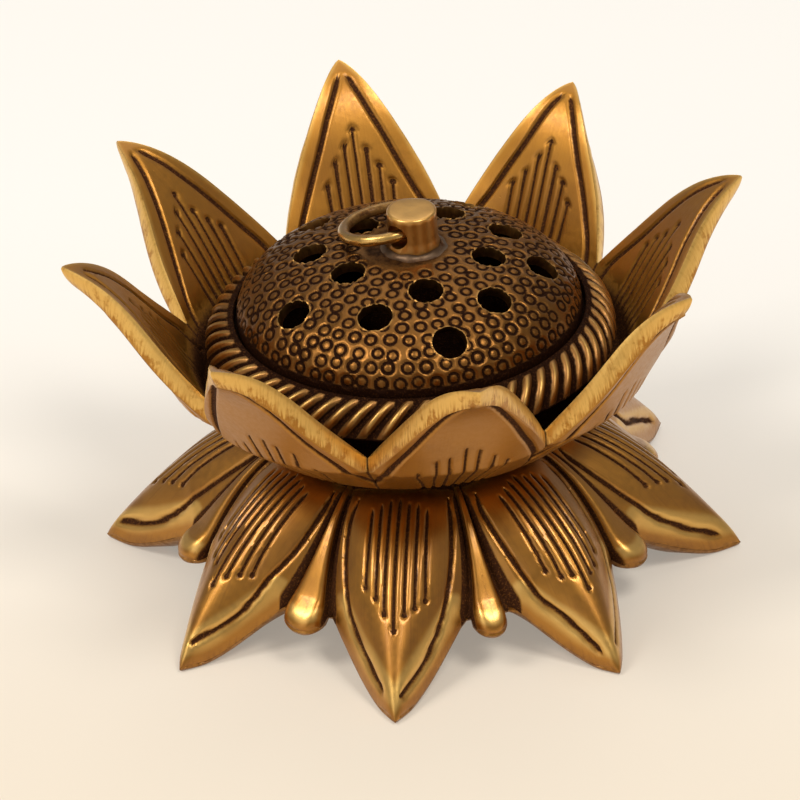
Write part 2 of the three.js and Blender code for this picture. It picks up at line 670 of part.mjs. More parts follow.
function filletRing(r, above) {
  return circle(r, 0, 40).map((p) => {
    p.add(KNOB_PLACE);
    p.z = domeHeight(Math.hypot(p.x, p.y)) + SEAT_GAP + above;
    return p;
  });
}

// Ring: round wire bent to a circle through the knob's eye. In the eye's middle the wire lies off the axis by half of
// its own bow, and the ring has tipped over until its far side meets the dome.
const WIRE_BOW = RING_RADIUS - Math.sqrt(RING_RADIUS ** 2 - KNOB_RADIUS ** 2);
const RING_CENTRE_OUT = RING_RADIUS - WIRE_BOW / 2;

function ringPoint(tilt, angle) {
  const out = RING_CENTRE_OUT + RING_RADIUS * Math.cos(angle);
  const side = RING_RADIUS * Math.sin(angle);
  return place(out * Math.cos(tilt), side, EYE_HEIGHT - out * Math.sin(tilt), EYE_AZIMUTH - 90).add(KNOB_PLACE);
}

function ringClearance(tilt) {
  let least = Infinity;
  for (let k = 0; k < 72; k += 1) {
    const p = ringPoint(tilt, (k * Math.PI) / 36);
    least = Math.min(least, p.z - domeHeight(Math.hypot(p.x, p.y)));
  }
  return least - RING_WIRE_RADIUS;
}

function makeRing() {
  const steepest = Math.PI / 4;
  const tilt = steepest * solveFalling((share) => ringClearance(share * steepest), SEAT_GAP + 0.1);
  const geometry = new THREE.TorusGeometry(RING_RADIUS, RING_WIRE_RADIUS, 8, 40);
  geometry.translate(RING_CENTRE_OUT, 0, 0);
  geometry.rotateY(tilt);
  geometry.rotateZ(radians(EYE_AZIMUTH - 180));
  geometry.translate(KNOB_PLACE.x, KNOB_PLACE.y, EYE_HEIGHT);
  return geometry;
}

addMesh('lotus_base', makeFoot(), brass('#b07a35', 0.42));
addMesh('lotus_cup', makeCup(), brass('#b88038', 0.4));
addMesh('fire_bowl', makeBowl(), brass('#8a5c2c', 0.5));
addMesh('clamp_stud', makeStud(), brass('#b8995a', 0.45));
addMesh('clamp_washer', makeWasher(), brass('#a88a50', 0.45));
addMesh('clamp_nut', makeNut(), brass('#b8995a', 0.4));
addMesh('pierced_lid', makeLid(), brass('#7c4f2a', 0.5));
addMesh('lid_knob', makeKnob(), brass('#b98046', 0.38));
addMesh('knob_solder', makeSolder(), brass('#a99a8c', 0.55));
addMesh('pull_ring', makeRing(), brass('#6f5426', 0.4));

export default part;
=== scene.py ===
"""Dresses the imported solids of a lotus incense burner: carved petals, roped bowl, lid, knob and ring."""
import math

import bpy
import numpy as np
from bpy.props import FloatProperty, FloatVectorProperty, IntProperty, PointerProperty
from mathutils import Matrix, Vector


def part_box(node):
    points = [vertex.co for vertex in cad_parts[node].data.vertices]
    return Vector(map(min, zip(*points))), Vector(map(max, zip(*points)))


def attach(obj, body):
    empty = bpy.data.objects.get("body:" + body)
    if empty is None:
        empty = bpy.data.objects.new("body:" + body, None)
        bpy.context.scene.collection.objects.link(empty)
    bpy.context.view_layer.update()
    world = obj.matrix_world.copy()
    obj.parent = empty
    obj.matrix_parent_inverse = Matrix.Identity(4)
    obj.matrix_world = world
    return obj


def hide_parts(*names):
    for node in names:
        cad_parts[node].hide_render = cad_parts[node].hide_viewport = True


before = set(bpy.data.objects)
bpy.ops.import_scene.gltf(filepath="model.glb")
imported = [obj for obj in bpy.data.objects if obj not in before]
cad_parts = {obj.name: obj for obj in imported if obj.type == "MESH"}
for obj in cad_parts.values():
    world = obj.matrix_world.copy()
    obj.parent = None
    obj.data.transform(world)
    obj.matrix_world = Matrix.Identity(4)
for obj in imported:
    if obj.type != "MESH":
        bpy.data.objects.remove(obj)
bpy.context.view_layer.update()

bl_info = {
    "name": "Lotus Incense Burner",
    "version": (1, 0, 0),
    "blender": (4, 5, 0),
    "location": "View3D > Sidebar > Lotus Burner",
    "description": "Builds the carved castings, the punched lid and the stage of a lotus incense burner",
    "category": "Object",
}

MM = 0.001
PETALS = 8
PITCH = math.radians(360 / PETALS)
HALF_PITCH = PITCH / 2
FULL_TURN = 2 * math.pi
STAMENS = range(-3, 4)


def box_mm(node):
    """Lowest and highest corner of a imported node, in millimetres."""
    low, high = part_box(node)
    return np.array(low) / MM, np.array(high) / MM


_, BASE_HIGH = box_mm("lotus_base")
CUP_LOW, _ = box_mm("lotus_cup")
BOWL_LOW, BOWL_HIGH = box_mm("fire_bowl")
_, LID_HIGH = box_mm("pierced_lid")
KNOB_LOW, KNOB_HIGH = box_mm("lid_knob")
RING_LOW, _ = box_mm("pull_ring")


# Sizes and colours that a user would change


def length_setting(name, description, default, low, high):
    return FloatProperty(
        name=name, description=f"{description}, in millimetres", default=default, min=low, max=high)


def angle_setting(name, description, degrees):
    return FloatProperty(
        name=name, description=description, default=math.radians(degrees), subtype="ANGLE", unit="ROTATION")


def colour_setting(name, description, default):
    return FloatVectorProperty(
        name=name, description=description, default=default, subtype="COLOR", size=3, min=0, max=1)


class LotusCastings(bpy.types.PropertyGroup):
    groove_depth: length_setting(
        "Groove depth", "Depth of the outline grooves of the petals", 0.62, 0.0, 1.5)
    stamen_depth: length_setting(
        "Stamen depth", "Depth of the stamen cuts", 0.5, 0.0, 1.2)
    stamen_spacing: length_setting(
        "Stamen spacing", "Distance between two stamen cuts of a foot petal", 2.05, 1.2, 3.0)
    cup_stamen_spacing: length_setting(
        "Cup stamen spacing", "Distance between two stamen cuts inside a cup petal", 2.35, 1.2, 3.0)
    hand_wobble: length_setting(
        "Hand wobble", "How uneven the hand-filed surfaces are", 0.035, 0.0, 0.5)


class LotusLid(bpy.types.PropertyGroup):
    punch_radius: length_setting(
        "Punch radius", "Radius of a ring punch's groove", 1.12, 0.6, 1.6)
    punch_pitch: length_setting(
        "Punch pitch", "Distance between two punch marks", 3.55, 2.5, 5.0)
    punch_depth: length_setting(
        "Punch depth", "Depth of the punch marks", 0.34, 0.0, 0.8)
    boss_radius: length_setting(
        "Plain middle", "Radius of the plain middle under the knob", 9.6, 7.0, 14.0)
    ribs: IntProperty(
        name="Ribs", description="Number of ribs on the shoulder of the bowl", default=64, min=24, max=96)


class LotusFinish(bpy.types.PropertyGroup):
    brass: colour_setting("Brass", "Toned brass of the petals", (0.45, 0.200, 0.028))
    # Also paints the highlights on the edges and crests.
    rubbed_and_highlight: colour_setting("Rubbed brass", "Bright brass of the filed edges", (0.82, 0.51, 0.14))
    tarnish: colour_setting("Tarnish", "Browned brass between the rubbed places", (0.215, 0.080, 0.019))
    # Also the colour of the painted shade under and between the parts.
    patina_and_shade: colour_setting("Patina", "Dark patina in the cuts of the petals", (0.048, 0.0175, 0.0072))
    # Also the colour of the painted shade inside the bowl, in the lid's holes and along its edge.
    soot_and_shade: colour_setting("Soot", "Soot between the ribs and in the punch marks", (0.014, 0.0045, 0.0018))
    lid_brass: colour_setting("Lid brass", "Copper brown of the lid", (0.20, 0.087, 0.021))
    # Also paints highlights on the lid's high places and hole edges.
    lid_rubbed_and_highlight: colour_setting("Rubbed lid", "Rubbed high places of the lid", (0.50, 0.275, 0.080))
    bowl_brass: colour_setting("Bowl brass", "Olive brown of the ribs", (0.25, 0.120, 0.034))
    knob_brass: colour_setting("Knob brass", "Pinkish brass of the knob", (0.48, 0.225, 0.050))
    ring_brass: colour_setting("Ring brass", "Dark brass of the ring", (0.38, 0.21, 0.055))
    solder: colour_setting("Solder", "Dull grey of the solder", (0.13, 0.085, 0.055))


class LotusStage(bpy.types.PropertyGroup):
    camera_azimuth: angle_setting("Camera azimuth", "Camera's turn from the front", 7.11)
    camera_elevation: angle_setting("Camera elevation", "Camera's height above the table", 31.5)
    camera_roll: angle_setting("Camera roll", "Camera's tilt to the side", -3.17)
    camera_distance: FloatProperty(
        name="Camera distance", description="Camera's distance from the middle of the burner",
        default=1.3346, subtype="DISTANCE", unit="LENGTH")
    lens: FloatProperty(
        name="Lens", description="Focal length for a 36 mm frame", default=287.55, subtype="DISTANCE_CAMERA")
    floor_colour: colour_setting("Floor", "Colour of floor and backdrop", (0.92, 0.895, 0.85))
    # The darker near floor is painted shade.
    shaded_near_floor_colour: colour_setting(
        "Near floor", "Colour of the floor toward the camera", (0.825, 0.73, 0.60))


# Shaping helpers. Points are worked out in millimetres and become metres when they go into a mesh.


def smooth(x):
    """Rises from 0 to 1 as x does, level at both ends."""
    x = np.clip(x, 0, 1)
    return x * x * (3 - 2 * x)


def lerp(a, b, t):
    return a + (b - a) * t


def bezier(points, count=400):
    t = np.linspace(0, 1, count)[:, None]
    p = np.array(points, float)
    return (1 - t) ** 3 * p[0] + 3 * t * (1 - t) ** 2 * p[1] + 3 * t * t * (1 - t) * p[2] + t ** 3 * p[3]


def wobble(points, size, seed):
    """Smooth unevenness between about -1 and 1 with bumps of about that size."""
    draw = np.random.RandomState(seed)
    total = np.zeros(points.shape[:-1])
    for _ in range(9):
        direction = draw.normal(size=3)
        direction *= (FULL_TURN / size) * draw.uniform(0.6, 1.4) / np.linalg.norm(direction)
        total += np.sin(points @ direction + draw.uniform(0, FULL_TURN))
    return total / 4.5


def wave(x, step, seed):
    """Smooth random values along a line, one new value each step."""
    values = np.random.RandomState(seed).uniform(-1, 1, 512)
    k = x / step
    i = np.floor(k).astype(int)
    return lerp(values[i % len(values)], values[(i + 1) % len(values)], smooth(k - i))


def through(points, count=26):
    """A smooth line through some points."""
    p = np.asarray(points, float)
    m = np.gradient(p, axis=0)
    t = np.linspace(0, len(p) - 1, count)
    i = np.minimum(t.astype(int), len(p) - 2)
    f = (t - i)[:, None]
    return ((2 * f ** 3 - 3 * f ** 2 + 1) * p[i] + (f ** 3 - 2 * f ** 2 + f) * m[i]
            + (3 * f ** 2 - 2 * f ** 3) * p[i + 1] + (f ** 3 - f ** 2) * m[i + 1])


def place(out, side, z, azimuth):
    """A point at a distance out from the axis along an azimuth, counted from the front toward the right."""
    x = out * np.sin(azimuth) + side * np.cos(azimuth)
    y = -out * np.cos(azimuth) + side * np.sin(azimuth)
    return np.stack(np.broadcast_arrays(x, y, z), axis=-1)


def along_line(r, z):
    """Distance run along lines of points, down the first axis."""
    steps = np.hypot(np.diff(r, axis=0), np.diff(z, axis=0))
    return np.concatenate([np.zeros_like(r[:1]), np.cumsum(steps, axis=0)])


def cut(points, path, widths):
    """How deep a cut along a path is at each point, from 0 beside it to 1 in its middle."""
    path = np.asarray(path, float)
    widths = np.asarray(widths, float)
    least = np.full(points.shape[:-1], np.inf)
    for a, b, wa, wb in zip(path[:-1], path[1:], widths[:-1], widths[1:]):
        t = np.clip((points - a) @ (b - a) / (np.sum((b - a) ** 2) + 1e-9), 0, 1)
        distance = np.linalg.norm(points - a - t[..., None] * (b - a), axis=-1)
        least = np.minimum(least, distance / np.maximum(lerp(wa, wb, t), 1e-3))
    return smooth(1.25 * (1 - least))


def cuts(points, lines):
    """The deepest of some cuts at each point; a line is a path with its half widths."""
    return np.maximum.reduce([cut(points, path, widths) for path, widths in lines])


def drilled_cut(points, path, widths, end_radius):
    """A cut with the round mark of a drill at its end."""
    from_end = np.linalg.norm(points - path[-1], axis=-1)
    return np.maximum(cut(points, path, widths), 1.12 * smooth(1.5 * (1 - from_end / end_radius)))


def normals_toward(points, direction):
    """Normals of a sheet of points, each turned to the side that its direction points to."""
    n = np.cross(np.gradient(points, axis=1), np.gradient(points, axis=0))
    n /= np.maximum(np.linalg.norm(n, axis=-1, keepdims=True), 1e-9)
    return n * np.sign(np.sum(n * direction, axis=-1, keepdims=True))


def sunk(points, depth, direction):
    """Points of a sheet sunk by a depth, away from the side that a direction points to."""
    return points - normals_toward(points, direction) * depth[..., None]


class Sheet:
    """Rows of points that make up a face, with the values that its material reads."""

    def __init__(self, *names):
        self.names = names
        self.rows = []
        self.values = []

    def add(self, points, *values):
        """Adds a row of points, or several rows at once."""
        if points.ndim == 2:
            points = points[None]
        self.rows.append(points)
        self.values.append([np.broadcast_to(value, points.shape[:2]) for value in values])

    def finished(self):
        """All rows in one array, and the values by their names."""
        values = [np.concatenate(each) for each in zip(*self.values)]
        return np.concatenate(self.rows), dict(zip(self.names, values))


# Mesh helpers


def select_only(*pieces):
    """Leaves only these pieces selected, and the first of them active."""
    bpy.ops.object.select_all(action="DESELECT")
    for piece in pieces:
        piece.select_set(True)
    if pieces:
        bpy.context.view_layer.objects.active = pieces[0]


def joined(*pieces):
    """Joins pieces into the first of them."""
    select_only(*pieces)
    bpy.ops.object.join()
    return pieces[0]


def add_primitive(operator, name, **settings):
    """Adds a primitive at the origin and names it."""
    select_only()
    operator(location=(0, 0, 0), **settings)
    piece = bpy.context.object
    piece.name = name
    return piece


def read_values(items, key, width):
    values = np.empty(len(items) * width, np.float32)
    items.foreach_get(key, values)
    return values.reshape(-1, width)


def get_attribute(mesh, name):
    return read_values(mesh.attributes[name].data, "value", 1)[:, 0]


def set_attribute(mesh, name, values):
    attribute = mesh.attributes.get(name) or mesh.attributes.new(name, "FLOAT", "POINT")
    attribute.data.foreach_set("value", np.asarray(values, np.float32).ravel())


def get_points(mesh):
    return read_values(mesh.vertices, "co", 3).astype(float) / MM


def set_points(mesh, points):
    mesh.vertices.foreach_set("co", (np.asarray(points, float) * MM).astype(np.float32).ravel())
    mesh.update()


def sheet_piece(name, points, values):
    """A grid of faces laid over rows and columns of points."""
    rows, columns = points.shape[:2]
    piece = add_primitive(
        bpy.ops.mesh.primitive_grid_add, name, x_subdivisions=columns - 1, y_subdivisions=rows - 1, size=1)
    if len(piece.data.vertices) != rows * columns:
        raise RuntimeError(f"the grid of {name} has {len(piece.data.vertices)} points, not {rows * columns}")
    set_points(piece.data, points.reshape(-1, 3))
    for key, value in values.items():
        set_attribute(piece.data, key, value)
    return piece


def close_piece(piece, distance=0.02, angle=50):
    """Merges doubled points, turns all faces outward and smooths the shading."""
    select_only(piece)
    bpy.ops.object.mode_set(mode="EDIT")
    bpy.ops.mesh.select_all(action="SELECT")
    bpy.ops.mesh.remove_doubles(threshold=distance * MM)
    bpy.ops.mesh.normals_make_consistent(inside=False)
    bpy.ops.object.mode_set(mode="OBJECT")
    bpy.ops.object.shade_smooth_by_angle(angle=math.radians(angle))
    return piece


def apply_modifier(piece, kind, **settings):
    modifier = piece.modifiers.new(kind.title(), kind)
    for key, value in settings.items():
        setattr(modifier, key, value)
    select_only(piece)
    bpy.ops.object.modifier_apply(modifier=modifier.name)


def bore(piece, cutter):
    """Cuts a piece with another one, which is used up."""
    apply_modifier(piece, "BOOLEAN", object=cutter, operation="DIFFERENCE", solver="EXACT")
    bpy.data.objects.remove(cutter)


def roughen(piece, amount, seed):
    """Moves a finished piece's points a little in and out, as hand filing leaves them."""
    points = get_points(piece.data)
    shift = amount * (0.7 * wobble(points, 14, seed) + 0.35 * wobble(points, 5, seed + 1))
    set_points(piece.data, points + read_values(piece.data.vertices, "normal", 3) * shift[:, None])


def settle(piece):
    """Keeps the points of a standing piece at or above the table."""
    points = get_points(piece.data)
    points[:, 2] = np.maximum(points[:, 2], 0.0)
    set_points(piece.data, points)
    return piece


def finish_with(piece, material):
    piece.data.materials.clear()
    piece.data.materials.append(material)


def dress(piece, body, node, material):
    """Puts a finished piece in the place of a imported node."""
    finish_with(piece, material)
    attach(piece, body)
    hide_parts(node)


# Materials


def rgba(colour):
    """A colour for a socket: a link stays as it is, and three numbers get a fourth."""
    return colour if isinstance(colour, bpy.types.NodeSocket) else (*colour, 1)


class Nodes:
    """Short calls for building a node material. Scales count features to the metre."""

    def __init__(self, name):
        self.material = bpy.data.materials.new(name)
        self.material.use_nodes = True
        self.tree = self.material.node_tree
        self.shader = self.tree.nodes["Principled BSDF"]
        self.coords = self.add("ShaderNodeTexCoord").outputs["Object"]

    def add(self, kind, **settings):
        node = self.tree.nodes.new(kind)
        for key, value in settings.items():
            setattr(node, key, value)
        return node

    def feed(self, node, inputs):
        """Links or sets some of a node's inputs."""
        for key, value in inputs.items():
            if isinstance(value, bpy.types.NodeSocket):
                self.tree.links.new(value, node.inputs[key])
            else:
                node.inputs[key].default_value = value

    def attribute(self, name):
        return self.add("ShaderNodeAttribute", attribute_name=name).outputs["Fac"]

    def noise(self, scale, detail, roughness, vector=None):
        node = self.add("ShaderNodeTexNoise")
        vector = self.coords if vector is None else vector
        self.feed(node, {"Vector": vector, "Scale": scale, "Detail": detail, "Roughness": roughness})
        return node.outputs["Fac"]

    def strokes(self, across_scale, along_scale):
        """Fine scratches that run along a piece."""
        vector = self.add("ShaderNodeCombineXYZ")
        self.feed(vector, {0: self.times(self.attribute("across"), across_scale * MM),
                           1: self.times(self.attribute("along"), along_scale * MM)})
        return self.noise(1.0, 2.0, 0.6, vector.outputs[0])

    def pits(self, scale):
        node = self.add("ShaderNodeTexVoronoi")
        self.feed(node, {"Vector": self.coords, "Scale": scale})
        return node.outputs["Distance"]

    def ramp(self, value, low, high, to_low=0.0, to_high=1.0):
        node = self.add("ShaderNodeMapRange", interpolation_type="SMOOTHSTEP")
        self.feed(node, {
            "Value": value, "From Min": low, "From Max": high, "To Min": to_low, "To Max": to_high})
        return node.outputs["Result"]

    def math(self, operation, a, b, clamp=False):
        node = self.add("ShaderNodeMath", operation=operation, use_clamp=clamp)
        self.feed(node, {0: a, 1: b})
        return node.outputs[0]

    def plus(self, a, b, clamp=False):
        return self.math("ADD", a, b, clamp)

    def times(self, a, b):
        return self.math("MULTIPLY", a, b)

    def mix(self, share, a, b):
        node = self.add("ShaderNodeMix", data_type="RGBA")
        self.feed(node, {"Factor": share, 6: rgba(a), 7: rgba(b)})
        return node.outputs[2]

    def bump(self, height, distance):
        node = self.add("ShaderNodeBump")
        self.feed(node, {"Height": height, "Distance": distance, "Strength": 1.0})
        return node.outputs["Normal"]


RELIEF_DEPTH = 0.00016


def antique(name, bright, dull, dark, rubbed_and_highlight, roughness, dullness, pitting=0.4, grit=0.6, coat=0.5):
    """Cast brass, worn bright on high places and edges, which also paints highlights there, browned between
    them, and dark brown in its cuts and wherever shade is painted.
    """
    n = Nodes(name)
    cloud = n.noise(60, 4, 0.6)
    speck = n.noise(900, 3, 0.65)
    strokes = n.strokes(2600, 60)
    file_marks = n.strokes(1500, 260)
    wear_and_highlight = n.attribute("wear_and_highlight")
    filed = n.attribute("filed")
    # The dark mask: dark brown in the cuts, plus painted shade under and between the parts.
    dirt_and_shade = n.ramp(n.plus(n.attribute("patina_and_shade"), n.ramp(speck, 0.3, 0.75, -0.07, 0.07)), 0.2, 0.75)
    brown = n.plus(n.ramp(cloud, 0.38, 0.75), n.ramp(strokes, 0.45, 0.8, 0, 0.4))
    brown = n.math("SUBTRACT", n.times(brown, dullness), wear_and_highlight, clamp=True)
    # The bright mask: worn brass on edges and high places, which doubles as a painted highlight.
    polish_and_highlight = n.plus(wear_and_highlight, n.ramp(cloud, 0.3, 0.7, -0.08, 0.08))
    polish_and_highlight = n.plus(polish_and_highlight, n.times(filed, n.ramp(file_marks, 0.3, 0.7, -0.5, 0.15)))
    polish_and_highlight = n.plus(polish_and_highlight, n.times(filed, n.ramp(n.noise(330, 3, 0.6), 0.5, 0.72, 0, -0.75)))
    metal = n.mix(n.ramp(polish_and_highlight, 0.15, 1.0), n.mix(brown, bright, dull), rubbed_and_highlight)
    grains = n.ramp(n.noise(2600, 2, 0.6), 0.5, 0.7, 0, grit)
    shine = n.plus(n.ramp(speck, 0.3, 0.7, roughness - 0.04, roughness + 0.07), n.times(brown, 0.1))
    n.feed(n.shader, {
        "Base Color": n.mix(dirt_and_shade, metal, n.mix(grains, dark, dull)),
        "Roughness": n.plus(shine, n.times(dirt_and_shade, 0.25), clamp=True),
        "Metallic": n.ramp(dirt_and_shade, 0, 1, 1.0, 0.25),
        "Specular IOR Level": 0.03,
        "Coat Weight": n.ramp(dirt_and_shade, 0, 1, coat, 0.0),
        "Coat Roughness": 0.24,
        "Coat IOR": 1.5,
        "Normal": antique_relief(n, strokes, n.times(speck, dirt_and_shade), file_marks, filed, pitting),
    })
    return n.material


def antique_relief(n, strokes, crust, file_marks, filed, pitting):
    """Brush strokes, casting pits, a grainy crust in the dark places and file marks as a bump."""
    pits = n.ramp(n.pits(700), 0.0, 0.14, -1.0, 0.0)
    pits = n.times(pits, n.ramp(n.noise(120, 2, 0.5), 0.52, 0.72, 0, pitting))
    height = n.plus(n.times(strokes, 0.10), n.times(n.noise(230, 2, 0.5), 0.09))
    height = n.plus(n.plus(height, pits), n.times(crust, 0.6))
    marks = n.plus(file_marks, n.noise(700, 3, 0.6))
    return n.bump(n.plus(height, n.times(n.times(marks, filed), 0.6)), RELIEF_DEPTH)


# Foot


FOOT_BENDS = ((0.8, 1.4), (-2.4, 0), (0.3, 0.4), (0, 0.3), (0.4, 1.4), (-0.3, 0), (-0.5, 0.5), (3.1, 1))
FOOT_SIDES = (
    ((0, -0.6), (0, -0.6)), ((1.2, -0.8), (0, 0.4)), ((0.6, 0.6), (0, 0)), ((0, 0), (0, 0.3)),
    ((0, 0), (0.4, 0)), ((0, 0.3), (0, 0)), ((0, 0), (0.4, 0.4)), ((0, 0.6), (1.7, 1.7)),
)
BEND_POWER = 1.5
FOOT_RADIUS = float(BASE_HIGH[1]) - FOOT_BENDS[4][1]
FOOT_TOP = float(BASE_HIGH[2])
FOOT_NECK_RADIUS = 28.0
FOOT_SEAT_RADIUS = 27.2
FOOT_WALL = 3.6
FOOT_TIP_WALL = 8.0
FOOT_EDGE = 2.2
FOOT_CEILING = FOOT_TOP - 4.7
FOOT_CEILING_RADIUS = 11.0
FOOT_JOIN_RADIUS = 48.0
FOOT_JOIN_HALF_WIDTH = 14.0
FOOT_JOIN_HEIGHT = 9.5
FOOT_OUTLINE_POWER = 0.88
FOOT_OUTLINE_ROUNDNESS = 0.9
FOOT_NECK_JOIN_ANGLE = math.radians(20.6)
FOOT_WIDENING_POWER = 2.4
FOOT_FLAT_SHARE = 0.82
FOOT_GROOVE_DEPTH = 1.6
SEPAL_END_RADIUS = 52.8
SEPAL_HALF_ANGLE = math.radians(5)
SEPAL_NECK_HALF_ANGLE = math.radians(1.2)
SEPAL_HEIGHT = 2.8
SEPAL_SLOPE = 0.72
SEPAL_DROOP = 1.4
SEPAL_ROUNDING = 1.9
PETAL_ROUNDING = 3.0
ROUNDING_DROP = 1.5
STUD_BORE = 3.3
JOIN_ANGLE = math.atan(FOOT_JOIN_HALF_WIDTH / FOOT_JOIN_RADIUS)
SEPAL_START = HALF_PITCH - SEPAL_HALF_ANGLE
FOOT_ROWS = 80
FOOT_COLUMNS = 113
FOOT_SEED = 70
FOOT_OUTLINES = (
    ((-8.8, 30.0), (-10.5, 34), (-11.0, 41), (-10.2, 48), (-6.8, 54.8), (-2.6, 62.3)),
    ((9.4, 29.6), (10.7, 34), (11.1, 41), (9.9, 48), (6.8, 55.2), (1.3, 63.6)),
)
FOOT_OUTLINE_WIDTH = 0.86
FOOT_STAMEN_START = 32
FOOT_STAMEN_ENDS = (48.2, 50.8, 52.9, 55.7, 53.5, 51.8, 49.6)

CREST = bezier([
    (FOOT_NECK_RADIUS, FOOT_TOP),
    (lerp(FOOT_NECK_RADIUS, FOOT_RADIUS, 0.36), FOOT_TOP - 1.2),
    (lerp(FOOT_NECK_RADIUS, FOOT_RADIUS, 0.74), FOOT_TOP * 0.47),
    (FOOT_RADIUS, FOOT_EDGE * 0.8),
])


def crest_height(r):
    """Height of the top face along a petal's middle."""
    return np.interp(r, CREST[:, 0], CREST[:, 1])


def neck_share(r):
    """How far out a radius is, from 0 at the neck to 1 where the petals part."""
    return np.clip((r - FOOT_NECK_RADIUS) / (FOOT_JOIN_RADIUS - FOOT_NECK_RADIUS), 0, 1)


def petal_share(r):
    """How far out a radius is, from 0 where the petals part to 1 at their tips."""
    return (r - FOOT_JOIN_RADIUS) / (FOOT_RADIUS - FOOT_JOIN_RADIUS)


def sepal_across(a):
    """From 0 in a sepal's middle to 1 at its sides."""
    return np.clip((HALF_PITCH - a) / SEPAL_HALF_ANGLE, 0, 1)


def foot_outline(share):
    """Distance out, half width and lower edge's height of a petal beyond the join."""
    share = np.clip(share, 0, 1)
    r = lerp(FOOT_JOIN_RADIUS, FOOT_RADIUS, share)
    w = FOOT_JOIN_HALF_WIDTH * np.maximum(0, 1 - share ** FOOT_OUTLINE_POWER) ** FOOT_OUTLINE_ROUNDNESS
    z = FOOT_JOIN_HEIGHT * np.maximum(0, 1 - share / FOOT_FLAT_SHARE) ** 1.5
    return r, w, z


def foot_turn(r, offset, petal):
    """Turn of a column of points: petals are wider and sepals narrower toward the neck."""
    a = np.abs(offset)
    left, right = np.radians(FOOT_SIDES[petal])
    narrower, wider = (np.where(offset < 0, left[k], right[k]) for k in (0, 1))
    share = neck_share(r) ** FOOT_WIDENING_POWER
    join = lerp(FOOT_NECK_JOIN_ANGLE, JOIN_ANGLE - narrower, share)
    start = HALF_PITCH - lerp(SEPAL_NECK_HALF_ANGLE, SEPAL_HALF_ANGLE + wider, share)
    sepal = lerp(HALF_PITCH, start, (HALF_PITCH - a) / SEPAL_HALF_ANGLE)
    between = lerp(join, start, (a - JOIN_ANGLE) / (SEPAL_START - JOIN_ANGLE))
    beyond = np.where(a < SEPAL_START, between, sepal)
    return np.sign(offset) * np.where(a <= JOIN_ANGLE, join * a / JOIN_ANGLE, beyond)


def foot_bend(points, offset, petal):
    """Moves points as the petal was bent by hand: a turn about the axis and a reach outward, at its tip."""
    turn, reach = FOOT_BENDS[petal]
    r = np.hypot(points[..., 0], points[..., 1])
    azimuth = np.arctan2(points[..., 0], -points[..., 1])
    free = np.where(np.abs(offset) <= JOIN_ANGLE, petal_share(r), 0)
    bend = np.clip(free, 0, 1) ** BEND_POWER
    return place(r + reach * bend, 0, points[..., 2], azimuth + math.radians(turn) * bend)


def foot_rim(offset):
    """Where the foot ends at an offset from a petal's middle, and how high its lower edge is there."""
    a = np.abs(offset)
    shares = np.linspace(0, 1, 800)
    r, w, _ = foot_outline(shares)
    petal_r, _, petal_z = foot_outline(np.interp(a, np.arctan2(w, r)[::-1], shares[::-1]))
    reach = np.sqrt(1 - sepal_across(a) ** 2)
    in_petal, in_sepal = a <= JOIN_ANGLE, a >= SEPAL_START
    r = np.where(in_sepal, lerp(FOOT_JOIN_RADIUS, SEPAL_END_RADIUS, reach), FOOT_JOIN_RADIUS - 1)
    z = np.where(in_sepal, FOOT_JOIN_HEIGHT - SEPAL_DROOP * reach, FOOT_JOIN_HEIGHT)
    return np.where(in_petal, petal_r, r), np.where(in_petal, petal_z, z)


def evened(radii, values, reach):
    """Values along a line of radii, each evened out over its neighbours within a reach."""
    weights = np.exp(-0.5 * ((radii[:, None] - radii) / reach) ** 2)
    return weights @ values / weights.sum(axis=1)


def edge_height_at(r):
    crest = crest_height(r)
    beyond = np.minimum(crest, foot_outline(petal_share(r))[2] + FOOT_EDGE)
    fall = crest_height(FOOT_JOIN_RADIUS) - (FOOT_JOIN_HEIGHT + FOOT_EDGE)
    return np.where(r >= FOOT_JOIN_RADIUS, beyond, crest - lerp(0.8, fall, neck_share(r) ** 1.3))


def side_at(r):
    _, w, _ = foot_outline(petal_share(r))
    return np.where(r > FOOT_JOIN_RADIUS, np.arctan2(w, r) + 2e-4, JOIN_ANGLE)


RADII = np.linspace(FOOT_NECK_RADIUS, FOOT_RADIUS, 400)
EVENED_EDGE = evened(RADII, edge_height_at(RADII), 1.5)
EVENED_SIDE = np.maximum(evened(RADII, side_at(RADII), 2.2), side_at(RADII))


def foot_edge_height(r):
    """Height of the top face along a petal's side edge."""
    return np.interp(r, RADII, EVENED_EDGE)


def foot_side(r):
    """Angle from the petal's middle to its side edge."""
    return np.interp(r, RADII, EVENED_SIDE)


def foot_height(r, offset):
    """Height of the foot's top face before it is carved."""
    a = np.abs(offset)
    share = neck_share(r)
    petal = lerp(crest_height(r), foot_edge_height(r), np.clip(a / foot_side(r), 0, 1) ** 2.2)
    inner = foot_edge_height(np.minimum(r, FOOT_JOIN_RADIUS))
    groove = inner - FOOT_GROOVE_DEPTH * np.sqrt(share)
    fall = SEPAL_SLOPE * np.maximum(r - FOOT_JOIN_RADIUS, 0)
    top = SEPAL_HEIGHT * (0.2 + 0.8 * share)
    sepal = inner - fall + lerp(top, -FOOT_GROOVE_DEPTH * 0.6 * share, sepal_across(a) ** 5)
    side = (a - JOIN_ANGLE) / (SEPAL_START - JOIN_ANGLE)
    down, up = lerp(petal, groove, smooth(2 * side)), lerp(groove, sepal, smooth(2 * side - 1))
    between = np.where(side < 0.5, down, up)
    return np.where(a <= JOIN_ANGLE, petal, np.where(a < SEPAL_START, between, sepal))


